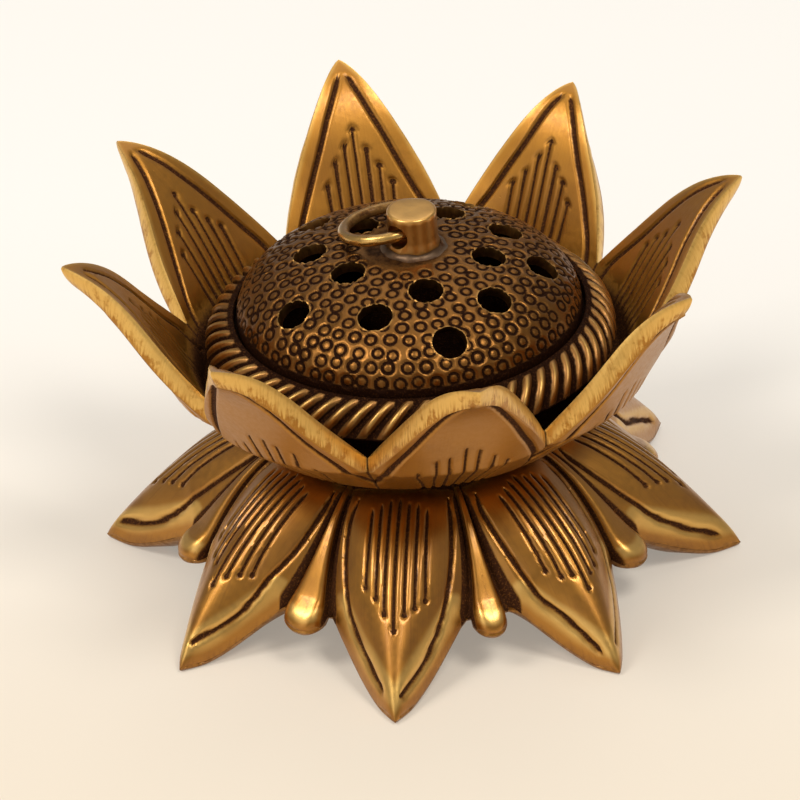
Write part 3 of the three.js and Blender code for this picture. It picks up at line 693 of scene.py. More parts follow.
def laid_on_foot(path, petal):
    """A path drawn as seen from above, (sideways, out), lifted onto a petal's top face."""
    path = np.asarray(path, float)
    columns = np.linspace(-HALF_PITCH, HALF_PITCH, 700)
    heights = []
    for side, out in path:
        r = math.hypot(side, out)
        turns = foot_turn(np.full_like(columns, r), columns, petal)
        offset = np.interp(math.atan2(side, out), turns, columns)
        heights.append(float(foot_height(np.array(r), np.array(offset))))
    return np.column_stack([path, heights])


def foot_outline_cuts(petal, draw):
    """The outline groove on each side of a petal."""
    for line, (narrower, _) in zip(FOOT_OUTLINES, FOOT_SIDES[petal]):
        path = through(np.array(line) + draw.uniform(-0.2, 0.2, (6, 2)), 30)
        path[:, 0] *= 1 - math.radians(narrower) / JOIN_ANGLE * neck_share(path[:, 1]) ** FOOT_WIDENING_POWER
        ends = smooth(np.linspace(0.25, 4, len(path))) * smooth(np.linspace(12, 0.75, len(path)))
        yield laid_on_foot(path, petal), FOOT_OUTLINE_WIDTH * ends


def foot_carving(points, sizes, petal):
    """Depth of the cuts in one foot petal, as (outline cuts, stamen cuts), in (sideways, out, up)."""
    draw = np.random.RandomState(FOOT_SEED + petal)
    outline = cuts(points, foot_outline_cuts(petal, draw))
    stamens = []
    ends = np.array(FOOT_STAMEN_ENDS) + draw.uniform(-0.5, 0.5, len(STAMENS))
    for k, end in zip(STAMENS, ends):
        near = k * sizes.stamen_spacing * 0.93
        far = k * sizes.stamen_spacing * 1.03 + draw.uniform(-0.15, 0.15)
        start = FOOT_STAMEN_START + 0.5 * abs(k) + draw.uniform(-0.4, 0.4)
        line = through([(near, start), (lerp(near, far, 0.3), start + 5), (far, end)], 9)
        stamens.append(drilled_cut(points, laid_on_foot(line, petal), [0.3, *[0.6] * 8], 0.95))
    return outline, np.maximum.reduce(stamens)


def foot_shades(r, a, k, outline, stamens):
    """How dark the top face is, from the dark brown in its cuts and from painted shade at the neck under the
    cup and down the outer flank, and how worn bright its edge is, with a painted highlight there; k runs
    from 0 to 1 out to its edge and on round the edge.
    """
    beside = np.abs(a) - JOIN_ANGLE
    between = smooth(beside / math.radians(0.9) + 1.6) * smooth((50 - r) / 2)
    between = np.maximum(between, smooth(beside / math.radians(0.25)))
    between *= smooth((HALF_PITCH - SEPAL_HALF_ANGLE * 0.80 - np.abs(a)) / math.radians(0.7))
    between *= smooth(neck_share(r) * 5)
    # Painted shade: the neck under the cup's belly is darkened where the cup shades it.
    neck = 0.9 * smooth((FOOT_NECK_RADIUS + 2.2 - r) / 2.2)
    patina_and_shade = np.clip(np.maximum.reduce([outline, stamens, between, neck]), 0, 1)
    # Painted shadow: a wider, fainter darkening out from the neck, the cup's shadow on the foot.
    shadow = 0.45 * smooth((FOOT_NECK_RADIUS + 5.5 - r) / 5)
    # Painted shade: the lower part of the rounded edge, turning down toward the table, is darkened.
    flank = 0.3 * smooth((k - 1.8) / 0.7)
    patina_and_shade = np.maximum(patina_and_shade, np.maximum(shadow, flank))
    # The rounded edge is brightened: partly worn brass, partly a painted highlight where the edge catches
    # the light.
    border = smooth((k - 0.93) / 0.07) * smooth((2.3 - k) / 0.8)
    return patina_and_shade, 0.7 * border * (1 - patina_and_shade)


def add_foot_top(sheet, sizes, petal, offset, rim):
    """Adds the carved top face with its rounded edge, and gives the heights at which the edge ends."""
    rim_r, rim_z = rim
    rounding = lerp(SEPAL_ROUNDING, PETAL_ROUNDING, smooth((JOIN_ANGLE - np.abs(offset)) / math.radians(3)))
    k = (np.linspace(0, 1, FOOT_ROWS) ** 0.96)[:, None]
    steps = np.radians(np.linspace(10, 90, 9))[:, None]
    end = rim_r - rounding
    r = np.concatenate([lerp(FOOT_NECK_RADIUS, end, k), end + rounding * np.sin(steps)])
    a = np.broadcast_to(offset, r.shape)
    turn = foot_turn(r, a, petal)
    x, out = r * np.sin(turn), r * np.cos(turn)
    z = foot_height(r, a)
    outline, stamens = foot_carving(np.stack([x, out, z], -1), sizes, petal)
    z[FOOT_ROWS:] = np.maximum(z[FOOT_ROWS:] - ROUNDING_DROP * (1 - np.cos(steps)), rim_z + 0.7)
    depth = 1.15 * sizes.groove_depth * outline + sizes.stamen_depth * stamens
    points = sunk(place(r, 0, z, turn), depth, place(0.3, 0, 1.0, turn))
    patina_and_shade, wear_and_highlight = foot_shades(r, a, np.concatenate([k, 1 + steps]), outline, stamens)
    sheet.add(points, patina_and_shade, wear_and_highlight, x, out)
    return z[-1]


def add_foot_underside(sheet, petal, offset, rim, edge_z):
    """Adds the side below the edge, the hollow under the petal, the ceiling, the bore and the cup's seat."""
    rim_r, rim_z = rim

    def add(r, z, patina_and_shade, wear_and_highlight=0.0):
        r = np.broadcast_to(r, offset.shape)
        points = place(r, 0, z, foot_turn(r, offset, petal))
        sheet.add(points, patina_and_shade, wear_and_highlight, r * np.sin(offset), r * np.cos(offset))

    # Painted shade: the side below the edge, the hollow under the petal, its ceiling and the bore are all
    # darkened.
    for t in (0.5, 1.0):
        add(rim_r - 0.25 * math.sin(math.pi * t), lerp(edge_z, rim_z + 0.9, t), 0.3 + 0.1 * t, 0.1)
    add(rim_r - 0.35, rim_z + 0.3, 0.4, 0.1)
    add(rim_r - 1.1, rim_z, 0.45)
    inside_r = rim_r - lerp(FOOT_WALL, FOOT_TIP_WALL, np.clip(1 - np.abs(offset) / JOIN_ANGLE, 0, 1))
    add(inside_r, rim_z, 0.35)
    for t, rise in ((0.92, 0.75), (0.8, 1), (0.6, 1), (0.4, 1), (0.2, 1), (0.0, 1)):
        r = lerp(FOOT_CEILING_RADIUS, inside_r, t)
        under = foot_height(np.maximum(r, FOOT_NECK_RADIUS), offset) - FOOT_WALL
        add(r, lerp(rim_z, np.minimum(FOOT_CEILING, under), rise), 0.45)
    add(STUD_BORE, FOOT_CEILING, 0.45)
    add(STUD_BORE, FOOT_TOP, 0.45)
    # Painted shade: the cup's seat is painted nearly black, as the shade under the cup.
    add(24.0, FOOT_TOP, 0.9)
    add(FOOT_SEAT_RADIUS, FOOT_TOP, 0.9)
    add(FOOT_NECK_RADIUS, sheet.rows[0][0, :, 2], 0.9)


def foot_sector(sizes, petal):
    """Points and values for one petal and its two half sepals, from the neck over the rim and back under."""
    offset = np.linspace(-HALF_PITCH, HALF_PITCH, FOOT_COLUMNS)
    rim = foot_rim(offset)
    sheet = Sheet("patina_and_shade", "wear_and_highlight", "across", "along")
    edge_z = add_foot_top(sheet, sizes, petal, offset, rim)
    add_foot_underside(sheet, petal, offset, rim, edge_z)
    points, values = sheet.finished()
    return foot_bend(points, np.broadcast_to(offset, points.shape[:2]), petal), values


def petal_ring(name, sector, sizes):
    """Eight petals, each a little different, turned into place and joined into one piece."""
    pieces = []
    for petal in range(PETALS):
        piece = sheet_piece(name, *sector(sizes, petal))
        piece.data.transform(Matrix.Rotation(petal * PITCH, 4, "Z"))
        pieces.append(piece)
    return joined(*pieces)


def build_foot(context):
    sizes = context.scene.lotus_castings
    piece = close_piece(petal_ring("foot_casting", foot_sector, sizes))
    roughen(piece, sizes.hand_wobble, 11)
    return settle(piece)


# Cup


CUP_TURN = math.radians(17.4)
CUP_BOTTOM = float(CUP_LOW[2])
CUP_FLOOR = CUP_BOTTOM + 5.0
CUP_WALL = 5.2
CUP_TIP_WALL = 3.6
CUP_SEAT_RADIUS = 27.0
CUP_BELLY_RADIUS = 39.0
CUP_BELLY_RISE = 6.0
CUP_NOTCH = np.array([46.7, 50.8])
CUP_TIP = np.array([70.6, 78.6])
CUP_INNER_DROP = 6.4
CUP_OUTLINE_POWER = 0.97
CUP_OUTLINE_ROUNDNESS = 0.8
CUP_BULGE = 2.2
CUP_NOTCH_GROOVE = 1.4
CUP_ROOT_FLATNESS = 0.25
CUP_INNER_ROOT = 0.3
CUP_OUTER_ROOT = 0.36
CUP_BENDS = (
    (0.2, 0.3, 0.1), (-0.1, -1.7, 1.2), (-0.5, 0.7, -0.6), (1.6, -1.8, -1.2),
    (-0.3, 0.2, 0.8), (0.8, 1.4, 0.2), (-0.4, 0.8, 0.7), (-0.1, -0.6, 0.9),
)
CUP_COLUMNS = 83
CUP_OUTER_ROWS = 58
CUP_INNER_ROWS = 68
CUP_SEED = 90
INSIDE_OUTLINE_HEIGHTS = (-0.12, 0.05, 0.2, 0.35, 0.5, 0.62, 0.72, 0.80, 0.87)
INSIDE_BORDERS = (4.3, 4.3, 4.3, 4.2, 4.0, 3.7, 3.3, 2.9, 2.5)
INSIDE_STAMEN_ENDS = (0.26, 0.35, 0.44, 0.55, 0.46, 0.37, 0.28)
OUTSIDE_OUTLINE_HEIGHTS = (-0.30, -0.2, -0.05, 0.1, 0.25, 0.4, 0.55, 0.7, 0.84)
OUTSIDE_BORDERS = (3.4, 3.4, 3.5, 3.5, 3.4, 3.2, 3.0, 2.7, 2.4)
OUTSIDE_STAMEN_ENDS = (0.02, 0.10, 0.17, 0.24, 0.18, 0.11, 0.03)
EDGE_SWELL = 0.5
BOWL_SHOULDER_RADIUS = float(BOWL_HIGH[0])


def slope_step(slope, share):
    """A step at a slope in degrees, as long as a share of the way from notch to tip."""
    length = np.linalg.norm(CUP_TIP - CUP_NOTCH)
    return np.array([math.cos(math.radians(slope)), math.sin(math.radians(slope))]) * share * length


SPINE = bezier([CUP_NOTCH, CUP_NOTCH + slope_step(61, 0.55), CUP_TIP - slope_step(14, 0.27), CUP_TIP], 1200)
SPINE_LENGTHS = along_line(SPINE[:, 0], SPINE[:, 1])
SPINE_LENGTH = SPINE_LENGTHS[-1]


def on_spine(s):
    """Distance out and height at a length along the petal's middle line."""
    return np.interp(s, SPINE_LENGTHS, SPINE[:, 0]), np.interp(s, SPINE_LENGTHS, SPINE[:, 1])


def spine(t):
    """Distance out, height and direction at a share of the petal's middle line."""
    s = np.clip(t, 0, 1) * SPINE_LENGTH
    d = 0.02 * SPINE_LENGTH
    (r0, z0), (r1, z1) = on_spine(s - d), on_spine(s + d)
    length = np.hypot(r1 - r0, z1 - z0)
    return *on_spine(s), (r1 - r0) / length, (z1 - z0) / length


def cup_half_width(t):
    share = (1 - np.clip(t, 0, 1) ** CUP_OUTLINE_POWER) ** CUP_OUTLINE_ROUNDNESS
    return CUP_NOTCH[0] * math.tan(HALF_PITCH) * share


def cup_reach(offset):
    """How far up the petal its outline is at an offset from its middle."""
    t = np.linspace(0, 1, 1200)
    angle = np.arctan2(cup_half_width(t), spine(t)[0])
    return np.interp(np.abs(offset), angle[::-1], t[::-1])


def flatten(r, t, offset):
    """Makes a petal flat across from half way up, and nearly as round as a cone at its root."""
    flat = lerp(CUP_ROOT_FLATNESS, 1, smooth(t / 0.5))
    return r * (1 + flat * (1 / np.cos(offset) - 1))


def cup_inner(share, offset):
    """Inner face: distance from the axis, height and how far up the petal."""
    t = cup_reach(offset) * np.maximum(0, (share - CUP_INNER_ROOT) / (1 - CUP_INNER_ROOT))
    r, z, _, _ = spine(t)
    climb = np.minimum(1, share / CUP_INNER_ROOT)
    start_r, start_z = BOWL_SHOULDER_RADIUS + 0.4, CUP_NOTCH[1] - CUP_INNER_DROP
    return lerp(start_r, flatten(r, t, offset), climb), lerp(start_z, z, climb), t


def cup_outer(share, offset):
    """Outer face: the same from the belly up."""
    t = cup_reach(offset) * np.maximum(0, (share - CUP_OUTER_ROOT) / (1 - CUP_OUTER_ROOT))
    r, z, dr, dz = spine(t)
    wall = lerp(CUP_WALL, CUP_TIP_WALL, t)
    r, z = r + wall * dz, z - wall * dr
    climb = np.minimum(1, share / CUP_OUTER_ROOT)
    side = np.abs(offset) / HALF_PITCH
    groove = CUP_NOTCH_GROOVE * side ** 12
    lift = np.maximum(0, share - CUP_OUTER_ROOT) * groove
    hollow = CUP_BULGE * side ** 2 + groove
    r = lerp(CUP_BELLY_RADIUS, flatten(r, t, offset) - hollow, climb) - lift
    return r, lerp(CUP_BOTTOM + CUP_BELLY_RISE, z, climb) + lift, t


def cup_bend(points, t, petal):
    """Moves points as the petal was bent by hand: a turn, a reach outward and a lift, at its tip."""
    turn, reach, lift = CUP_BENDS[petal]
    bend = np.clip(t, 0, 1) ** BEND_POWER
    r = np.hypot(points[..., 0], points[..., 1]) + reach * bend
    azimuth = np.arctan2(points[..., 0], -points[..., 1]) + math.radians(turn) * bend
    return place(r, 0, points[..., 2] + lift * bend, azimuth)


def border_line(t, border, side, least=0.15):
    """A line that runs inside a petal's edge, in millimetres sideways and up."""
    half = np.maximum(cup_half_width(np.asarray(t)) - border, least)
    return np.stack([side * half, np.asarray(t) * SPINE_LENGTH], 1)


def inside_outline_cuts(draw):
    """The outline groove on each side of a petal's inner face."""
    for side in (-1, 1):
        line = border_line(INSIDE_OUTLINE_HEIGHTS, np.array(INSIDE_BORDERS) + draw.uniform(-0.3, 0.3), side)
        path = through(line + draw.uniform(-0.15, 0.15, line.shape))
        yield path, 0.92 * smooth(np.linspace(9, 0.6, len(path)))


def outside_outline_cuts(draw):
    """The same on its outer face."""
    for side in (-1, 1):
        line = border_line(OUTSIDE_OUTLINE_HEIGHTS, np.array(OUTSIDE_BORDERS), side, 0.1)
        path = through(line + draw.uniform(-0.15, 0.15, line.shape))
        yield path, 1.05 * smooth(np.linspace(0.4, 5, len(path)))


def cup_inside_carving(x, s, sizes, draw):
    """Cuts on a petal's inner face: x sideways, s up the petal, both in millimetres."""
    points = np.stack([x, s], -1)
    outline = cuts(points, inside_outline_cuts(draw))
    stamens = []
    ends = np.array(INSIDE_STAMEN_ENDS) + draw.uniform(-0.02, 0.02, len(STAMENS))
    for k, end in zip(STAMENS, ends):
        near = k * sizes.cup_stamen_spacing * 0.9
        far = k * sizes.cup_stamen_spacing + draw.uniform(-0.2, 0.2)
        path = np.array([(near, -6.0), (far, end * SPINE_LENGTH)])
        stamens.append(drilled_cut(points, path, [0.66, 0.6], 1.0))
    return outline, np.maximum.reduce(stamens)


def outside_stamen_cuts(draw):
    ends = np.array(OUTSIDE_STAMEN_ENDS) + draw.uniform(-0.04, 0.04, len(STAMENS))
    for k, end in zip(STAMENS, ends):
        far = k * 3.1 + draw.uniform(-0.3, 0.3)
        heights = np.array([-0.5, -0.28, end]) * SPINE_LENGTH
        yield through(np.column_stack([(k * 1.9, k * 2.3, far), heights]), 12), np.linspace(0.75, 0.5, 12)


def cup_outside_carving(x, s, draw):
    """Cuts on a petal's outer face."""
    points = np.stack([x, s], -1)
    return cuts(points, outside_outline_cuts(draw)), cuts(points, outside_stamen_cuts(draw))


def cup_face(face, count, drop, offset):
    """A face of the petal as evenly spaced points up its columns, to a distance short of its end."""
    r, z, t = np.broadcast_arrays(*face(np.linspace(0, 1, 220)[:, None], offset))
    length = along_line(r, z)
    out = np.empty((3, count, len(offset)))
    for j in range(len(offset)):
        s = np.linspace(0, 1, count) * (length[-1, j] - drop[j])
        for value, source in zip(out, (r, z, t)):
            value[:, j] = np.interp(s, length[:, j], source[:, j])
    return out


def add_cup_rings(sheet, offset, rings):
    """Adds plain rows below the petal, each a radius, a height and how dark it is."""
    for r, z, patina_and_shade in rings:
        sheet.add(place(r, 0, z, offset), 0.0, patina_and_shade, 0.0, r * offset, r, 0.0)


def cup_root_rings():
    """Bore, seat and belly below the outer face, painted dark toward the seat as the shade under the cup."""
    belly = [(lerp(CUP_SEAT_RADIUS, CUP_BELLY_RADIUS, t),
              CUP_BOTTOM + CUP_BELLY_RISE * (0.2 + 0.8 * t ** 1.2),
              0.8 * (1 - t)) for t in (0.25, 0.5, 0.75)]
    return [
        (STUD_BORE, CUP_BOTTOM, 0.5), (24.0, CUP_BOTTOM, 0.8), (CUP_SEAT_RADIUS, CUP_BOTTOM, 0.95),
        (CUP_SEAT_RADIUS + 0.1, CUP_BOTTOM + 1.2, 0.95), *belly,
    ]


def add_cup_outside(sheet, offset, sizes, draw):
    """Adds the carved outer face, and gives the line where it ends below the edge."""
    r, z, t = cup_face(cup_outer, CUP_OUTER_ROWS, lerp(2.4, 3.2, cup_reach(offset)), offset)
    points = place(r, 0, z, offset)
    below = np.clip((r - CUP_BELLY_RADIUS) / 10 - 1, -1, 0)
    s = np.where(t > 0, t, 0.42 * below) * SPINE_LENGTH
    x = r * np.sin(offset)
    outline, stamens = cup_outside_carving(x, s, draw)
    depth = sizes.groove_depth * outline + 0.8 * sizes.stamen_depth * stamens
    # Painted shade: the petal's sides are darkened near the notch where it parts from the next.
    notch = np.broadcast_to(0.95 * smooth((np.abs(offset) / HALF_PITCH - 0.955) / 0.045), r.shape)
    patina_and_shade = np.clip(np.maximum.reduce([outline, stamens, notch]), 0, 1)
    carved = sunk(points, depth, place(1.0, 0, -0.3, offset))
    sheet.add(carved, t, patina_and_shade, 0.15 * (1 - patina_and_shade), x, s, 0.0)
    return points[-1]


def add_cup_edge(sheet, offset, petal, outer_end, inner_end):
    """Adds the filed edge between the two faces, swollen and a little uneven."""
    r, z, _ = cup_inner(np.ones_like(offset), offset)
    tip = place(r, 0, z, offset)
    border = np.r_[0, np.cumsum(np.linalg.norm(np.diff(tip, axis=0), axis=1))]
    up = tip - inner_end
    up /= np.maximum(np.linalg.norm(up, axis=1, keepdims=True), 1e-6)
    # Painted shade: the edge is darkened where it meets the next petal.
    gap = 0.8 * smooth((np.abs(offset) / HALF_PITCH - 0.985) / 0.015)
    for v in np.linspace(0.06, 1.0, 8):
        swell = EDGE_SWELL * math.sin(math.pi * min(v, 0.999)) ** 0.7 - 2.7 * max(0.0, v - 0.9)
        uneven = 0.10 * wave(border + 1.2 * v, 1.3, 5 + petal) + 0.12 * wave(border, 3.7, 6 + petal)
        rise = swell + uneven * math.sin(math.pi * v)
        # The filed edge is brightened: worn brass and a painted highlight.
        sheet.add(lerp(outer_end, tip, v) + up * rise[:, None], cup_reach(offset), gap,
                  lerp(0.6, 1.0, smooth(v * 2.5)), border, 5.0 * v, 1.0 - 0.5 * smooth(v * 2 - 0.4))


def add_cup_inside(sheet, offset, face, sizes, draw):
    """Adds the carved inner face, from the edge down to the bowl's shoulder."""
    r, z, t = face[:, ::-1]
    points = place(r, 0, z, offset)
    rise = z - CUP_NOTCH[1]
    s = np.where(t > 0, t * SPINE_LENGTH, rise)
    x = r * np.sin(offset)
    outline, stamens = cup_inside_carving(x, s, sizes, draw)
    depth = sizes.groove_depth * outline + sizes.stamen_depth * stamens
    # Painted shade: darker low inside the cup, down to the bowl's shoulder.
    low = 0.95 * smooth(1 - (rise + CUP_INNER_DROP) / 11.0)
    # Painted shade: the sides near the notch are darkened here too.
    notch = np.broadcast_to(0.9 * smooth((np.abs(offset) / HALF_PITCH - 0.95) / 0.05), r.shape)
    patina_and_shade = np.clip(np.maximum.reduce([outline, stamens, low, notch]), 0, 1)
    # The inner rim near the edge is brightened: worn brass and a painted highlight.
    rim = smooth(1 - (cup_half_width(t) - np.abs(x)) / 2.2)
    carved = sunk(points, depth, place(-1.0, 0, 0.6, offset))
    sheet.add(carved, t, patina_and_shade, 0.6 * rim * (1 - patina_and_shade), x, s, 0.0)


def cup_sector(sizes, petal):
    """Points and values for one petal, from the seat up its outer face, over its edge and down inside."""
    draw = np.random.RandomState(CUP_SEED + petal)
    u = np.linspace(-1, 1, CUP_COLUMNS)
    offset = HALF_PITCH * np.sign(u) * np.abs(u) ** 0.97
    sheet = Sheet("up_petal", "patina_and_shade", "wear_and_highlight", "across", "along", "filed")
    add_cup_rings(sheet, offset, cup_root_rings())
    outer_end = add_cup_outside(sheet, offset, sizes, draw)
    inner = cup_face(cup_inner, CUP_INNER_ROWS, np.full_like(offset, 0.45), offset)
    inner_end = place(inner[0][-1], 0, inner[1][-1], offset)
    add_cup_edge(sheet, offset, petal, outer_end, inner_end)
    add_cup_inside(sheet, offset, inner, sizes, draw)
    # Painted shade: the floor under the bowl is painted dark.
    add_cup_rings(sheet, offset, [
        (36.6, CUP_FLOOR + 3.2, 0.9), (26.0, CUP_FLOOR, 0.9), (STUD_BORE, CUP_FLOOR, 0.9),
        (STUD_BORE, CUP_BOTTOM, 0.5)])
    points, values = sheet.finished()
    return cup_bend(points, values.pop("up_petal"), petal), values


def build_cup(context):
    sizes = context.scene.lotus_castings
    piece = petal_ring("cup_casting", cup_sector, sizes)
    piece.data.transform(Matrix.Rotation(CUP_TURN, 4, "Z"))
    close_piece(piece)
    roughen(piece, sizes.hand_wobble, 23)
    return piece


# Bowl


BOWL_TOP = float(BOWL_HIGH[2])
BOWL_BOTTOM = float(BOWL_LOW[2])
BOWL_MOUTH_RADIUS = 36.4
BOWL_LIP_RADIUS = BOWL_MOUTH_RADIUS + 0.6
BOWL_LEDGE = BOWL_TOP - 2.4
BOWL_LEDGE_RADIUS = BOWL_MOUTH_RADIUS - 3
BOWL_FLOOR = BOWL_BOTTOM + 3.6
BOWL_SKIRT_RADIUS = 40.6
SHOULDER_DROP = 6.5
SHOULDER_BOTTOM = BOWL_TOP - SHOULDER_DROP
SHOULDER_ROWS = 20
SKIRT_BOTTOM = SHOULDER_BOTTOM - 1.6
COLUMNS_PER_RIB = 10
RIB_DEPTH = 1.15
RIB_HALF_WIDTH = 0.66
RIB_SLANT = math.radians(9)


def spun(name, profile, segments):
    """A profile of (radius, height, patina) spun about the axis."""
    radius, height, patina_and_shade = np.array(profile, float).T[..., None]
    points = place(radius, 0, height, np.linspace(0, FULL_TURN, segments + 1))
    shape = points.shape[:2]
    return sheet_piece(name, points, {"patina_and_shade": np.broadcast_to(patina_and_shade, shape), "wear_and_highlight": np.zeros(shape)})


def rib_row(share, angle, ribs):
    """One row of the roped shoulder, at a share of the way up to the lip: points, how dark, with painted
    shade at its foot and top, and how worn bright, with a painted highlight on the crests.
    """
    q = math.radians(90 * share)
    across = np.abs((angle * ribs / FULL_TURN) % 1 - 0.5) * 2
    rib = np.sqrt(np.clip(1 - (across / RIB_HALF_WIDTH) ** 2, 0, 1))
    fade = math.sqrt(math.sin(math.pi * min(max(share, 0.015), 0.985)))
    rise = (0.12 * wave(angle * 40, 1.7, 31) - RIB_DEPTH * (1 - rib)) * fade
    r = BOWL_LIP_RADIUS + (BOWL_SHOULDER_RADIUS - BOWL_LIP_RADIUS + rise) * math.cos(q)
    z = SHOULDER_BOTTOM + (SHOULDER_DROP + rise) * math.sin(q)
    gap = smooth((across - 0.5) / 0.2) * (0.6 + 0.6 * fade)
    # Painted shade: darker at the foot of the shoulder, inside the cup, and at its top, under the lid's
    # edge.
    ends = 0.5 * max(0, 1 - share / 0.3) + smooth((share - 0.86) / 0.1)
    patina_and_shade = np.clip(gap + ends, 0, 1)
    # The rib crests are brightened: worn brass and a painted highlight.
    wear_and_highlight = 0.5 * smooth((rib - 0.75) / 0.25) * fade * (1 - patina_and_shade)
    return place(r, 0, z, angle + RIB_SLANT * share), patina_and_shade, wear_and_highlight


def bowl_underside():
    """The plain underside with the bore for the stud."""
    # Painted shade: the underside, hidden under the cup, is painted dark.
    return spun("bowl_underside", [
        (0, BOWL_BOTTOM + 5.2, 0.6), (STUD_BORE, BOWL_BOTTOM + 5.2, 0.6), (STUD_BORE, BOWL_BOTTOM, 0.6),
        (20, BOWL_BOTTOM, 0.6), (24, BOWL_BOTTOM + 0.6, 0.6), (35.2, BOWL_BOTTOM + 4.5, 0.6),
        (40.4, BOWL_BOTTOM + 8.7, 0.7), (BOWL_SKIRT_RADIUS, SKIRT_BOTTOM, 0.9)], 64)


def build_bowl(context):
    ribs = context.scene.lotus_lid.ribs
    angle = np.linspace(0, FULL_TURN, ribs * COLUMNS_PER_RIB + 1)
    sheet = Sheet("patina_and_shade", "wear_and_highlight")
    for share in np.linspace(0, 1, SHOULDER_ROWS):
        sheet.add(*rib_row(share, angle, ribs))
    # Painted shade: the mouth, ledge and floor inside the bowl, under the lid, are painted dark.
    for r, z, patina_and_shade in (
            (BOWL_MOUTH_RADIUS + 0.25, BOWL_TOP - 0.05, 1), (BOWL_MOUTH_RADIUS, BOWL_TOP - 0.35, 1),
            (BOWL_MOUTH_RADIUS, BOWL_LEDGE, 1), (BOWL_LEDGE_RADIUS, BOWL_LEDGE, 1),
            (BOWL_LEDGE_RADIUS, BOWL_LEDGE - 2.2, 0.9), (36.2, BOWL_LEDGE - 4.8, 0.8),
            (36.2, BOWL_FLOOR + 5.6, 0.8), (34.6, BOWL_FLOOR + 3.4, 0.8), (31.6, BOWL_FLOOR + 1.9, 0.8),
            (26, BOWL_FLOOR + 0.5, 0.8), (20, BOWL_FLOOR, 0.8), (7, BOWL_FLOOR, 0.8),
            (6.5, BOWL_FLOOR + 4.5, 0.8), (0, BOWL_FLOOR + 4.5, 0.8)):
        sheet.add(place(r, 0, z, angle + RIB_SLANT), patina_and_shade, 0.0)
    piece = sheet_piece("bowl_casting", *sheet.finished())
    underside = bowl_underside()
    # Painted shade: the skirt under the shoulder is painted black.
    points = np.stack([place(BOWL_SKIRT_RADIUS, 0, SKIRT_BOTTOM, angle), sheet.rows[0][0]])
    shape = points.shape[:2]
    skirt = sheet_piece("bowl_skirt", points, {"patina_and_shade": np.ones(shape), "wear_and_highlight": np.zeros(shape)})
    return close_piece(joined(piece, underside, skirt), distance=0.01)


# Lid


LID_TOP = float(LID_HIGH[2])
LID_EDGE = 57.6
LID_RADIUS = float(LID_HIGH[0])
LID_ROUNDNESS = 2.2
LID_WALL = 2.4
LID_BOTTOM = LID_EDGE - 1.5
LID_ROWS = 122
LID_COLUMNS = 560
SKIRT_RADIUS = 32.8
SKIRT_WALL = 2.0
SKIRT_HEIGHT = 5
PUNCH_SEED = 4
PUNCH_REACH = 2.1
HOLE_RADIUS = 3.2
HOLE_EDGE = 0.55
HOLES = (
    (14.5, -49.8), (16.6, 19.5), (17.3, 84.9), (18.2, 157.2), (14.1, -133.8),
    (23.7, -10.3), (24.9, 51.6), (22.5, 119.6), (23.0, -164.0), (20.1, -90.8),
    (28.7, -48.8), (30.2, 22.1), (28.1, 90.5), (28.4, 157.9), (26.4, -127.1),
)
POST_HOLE_RADIUS = 2.8
KNOB_X = float(KNOB_LOW[0] + KNOB_HIGH[0]) / 2
KNOB_Y = float(KNOB_LOW[1] + KNOB_HIGH[1]) / 2


def dome_height(r):
    fall = (1 - np.clip(r / LID_RADIUS, 0, 1) ** LID_ROUNDNESS) ** (1 / LID_ROUNDNESS)
    return LID_EDGE + (LID_TOP - LID_EDGE) * fall


def dome_profile():
    """Radii along the dome, and the way over its surface to each."""
    r = LID_RADIUS * np.sin(np.linspace(0, math.pi / 2, 3000))
    return r, along_line(r, dome_height(r))


def turned_back(angle):
    """The same angle between half a turn back and half a turn on."""
    return (angle + math.pi) % FULL_TURN - math.pi


def punch_marks(lid):
    """Ring punches in loose circles round the knob: way over the dome, azimuth, size and force of each."""
    r, length = dome_profile()
    draw = np.random.RandomState(PUNCH_SEED)
    marks = []
    start = np.interp(lid.boss_radius + 1.6, r, length)
    end = length[-1] - 3.2
    circles = int(round((end - start) / (lid.punch_pitch * 0.88)))
    for k in range(circles + 1):
        here = lerp(start, end, k / circles)
        count = int(round(FULL_TURN * np.interp(here, length, r) / (lid.punch_pitch * 1.04)))
        first = draw.uniform(0, FULL_TURN)
        for j in range(count):
            azimuth = first + FULL_TURN * (j + draw.uniform(-0.13, 0.13)) / count
            shift, size, force = draw.uniform(-0.3, 0.3), draw.uniform(0.92, 1.08), draw.uniform(0.6, 1.15)
            marks.append((here + shift, azimuth, size, force))
    return marks


def punched(points, s, angle, lid):
    """How deep and how dark the punch marks leave each point of the dome."""
    r_line, length = dome_profile()
    sink = np.zeros(points.shape[:2])
    dark = np.zeros(points.shape[:2])
    for here, azimuth, size, force in punch_marks(lid):
        azimuth = turned_back(azimuth)
        radius = np.interp(here, length, r_line)
        rows = np.where(np.abs(s - here) < PUNCH_REACH)[0]
        columns = np.where(np.abs(turned_back(angle - azimuth)) < PUNCH_REACH / radius)[0]
        block = np.ix_(rows, columns)
        middle = place(radius, 0, dome_height(radius), azimuth)
        d = np.linalg.norm(points[block] - middle, axis=-1) / size - lid.punch_radius
        groove = smooth(1.35 * (1 - np.abs(d) / 0.56))
        burr = 0.12 * smooth(1 - np.abs(d - 0.72) / 0.35)
        hollow = 0.25 * smooth(-1.2 * d / lid.punch_radius)
        sink[block] = np.maximum(sink[block], np.maximum(groove, hollow) * force) - burr * force
        dark[block] = np.maximum(dark[block], np.clip(groove * (0.55 + 0.45 * force) + hollow * 0.6, 0, 1))
    return sink, dark


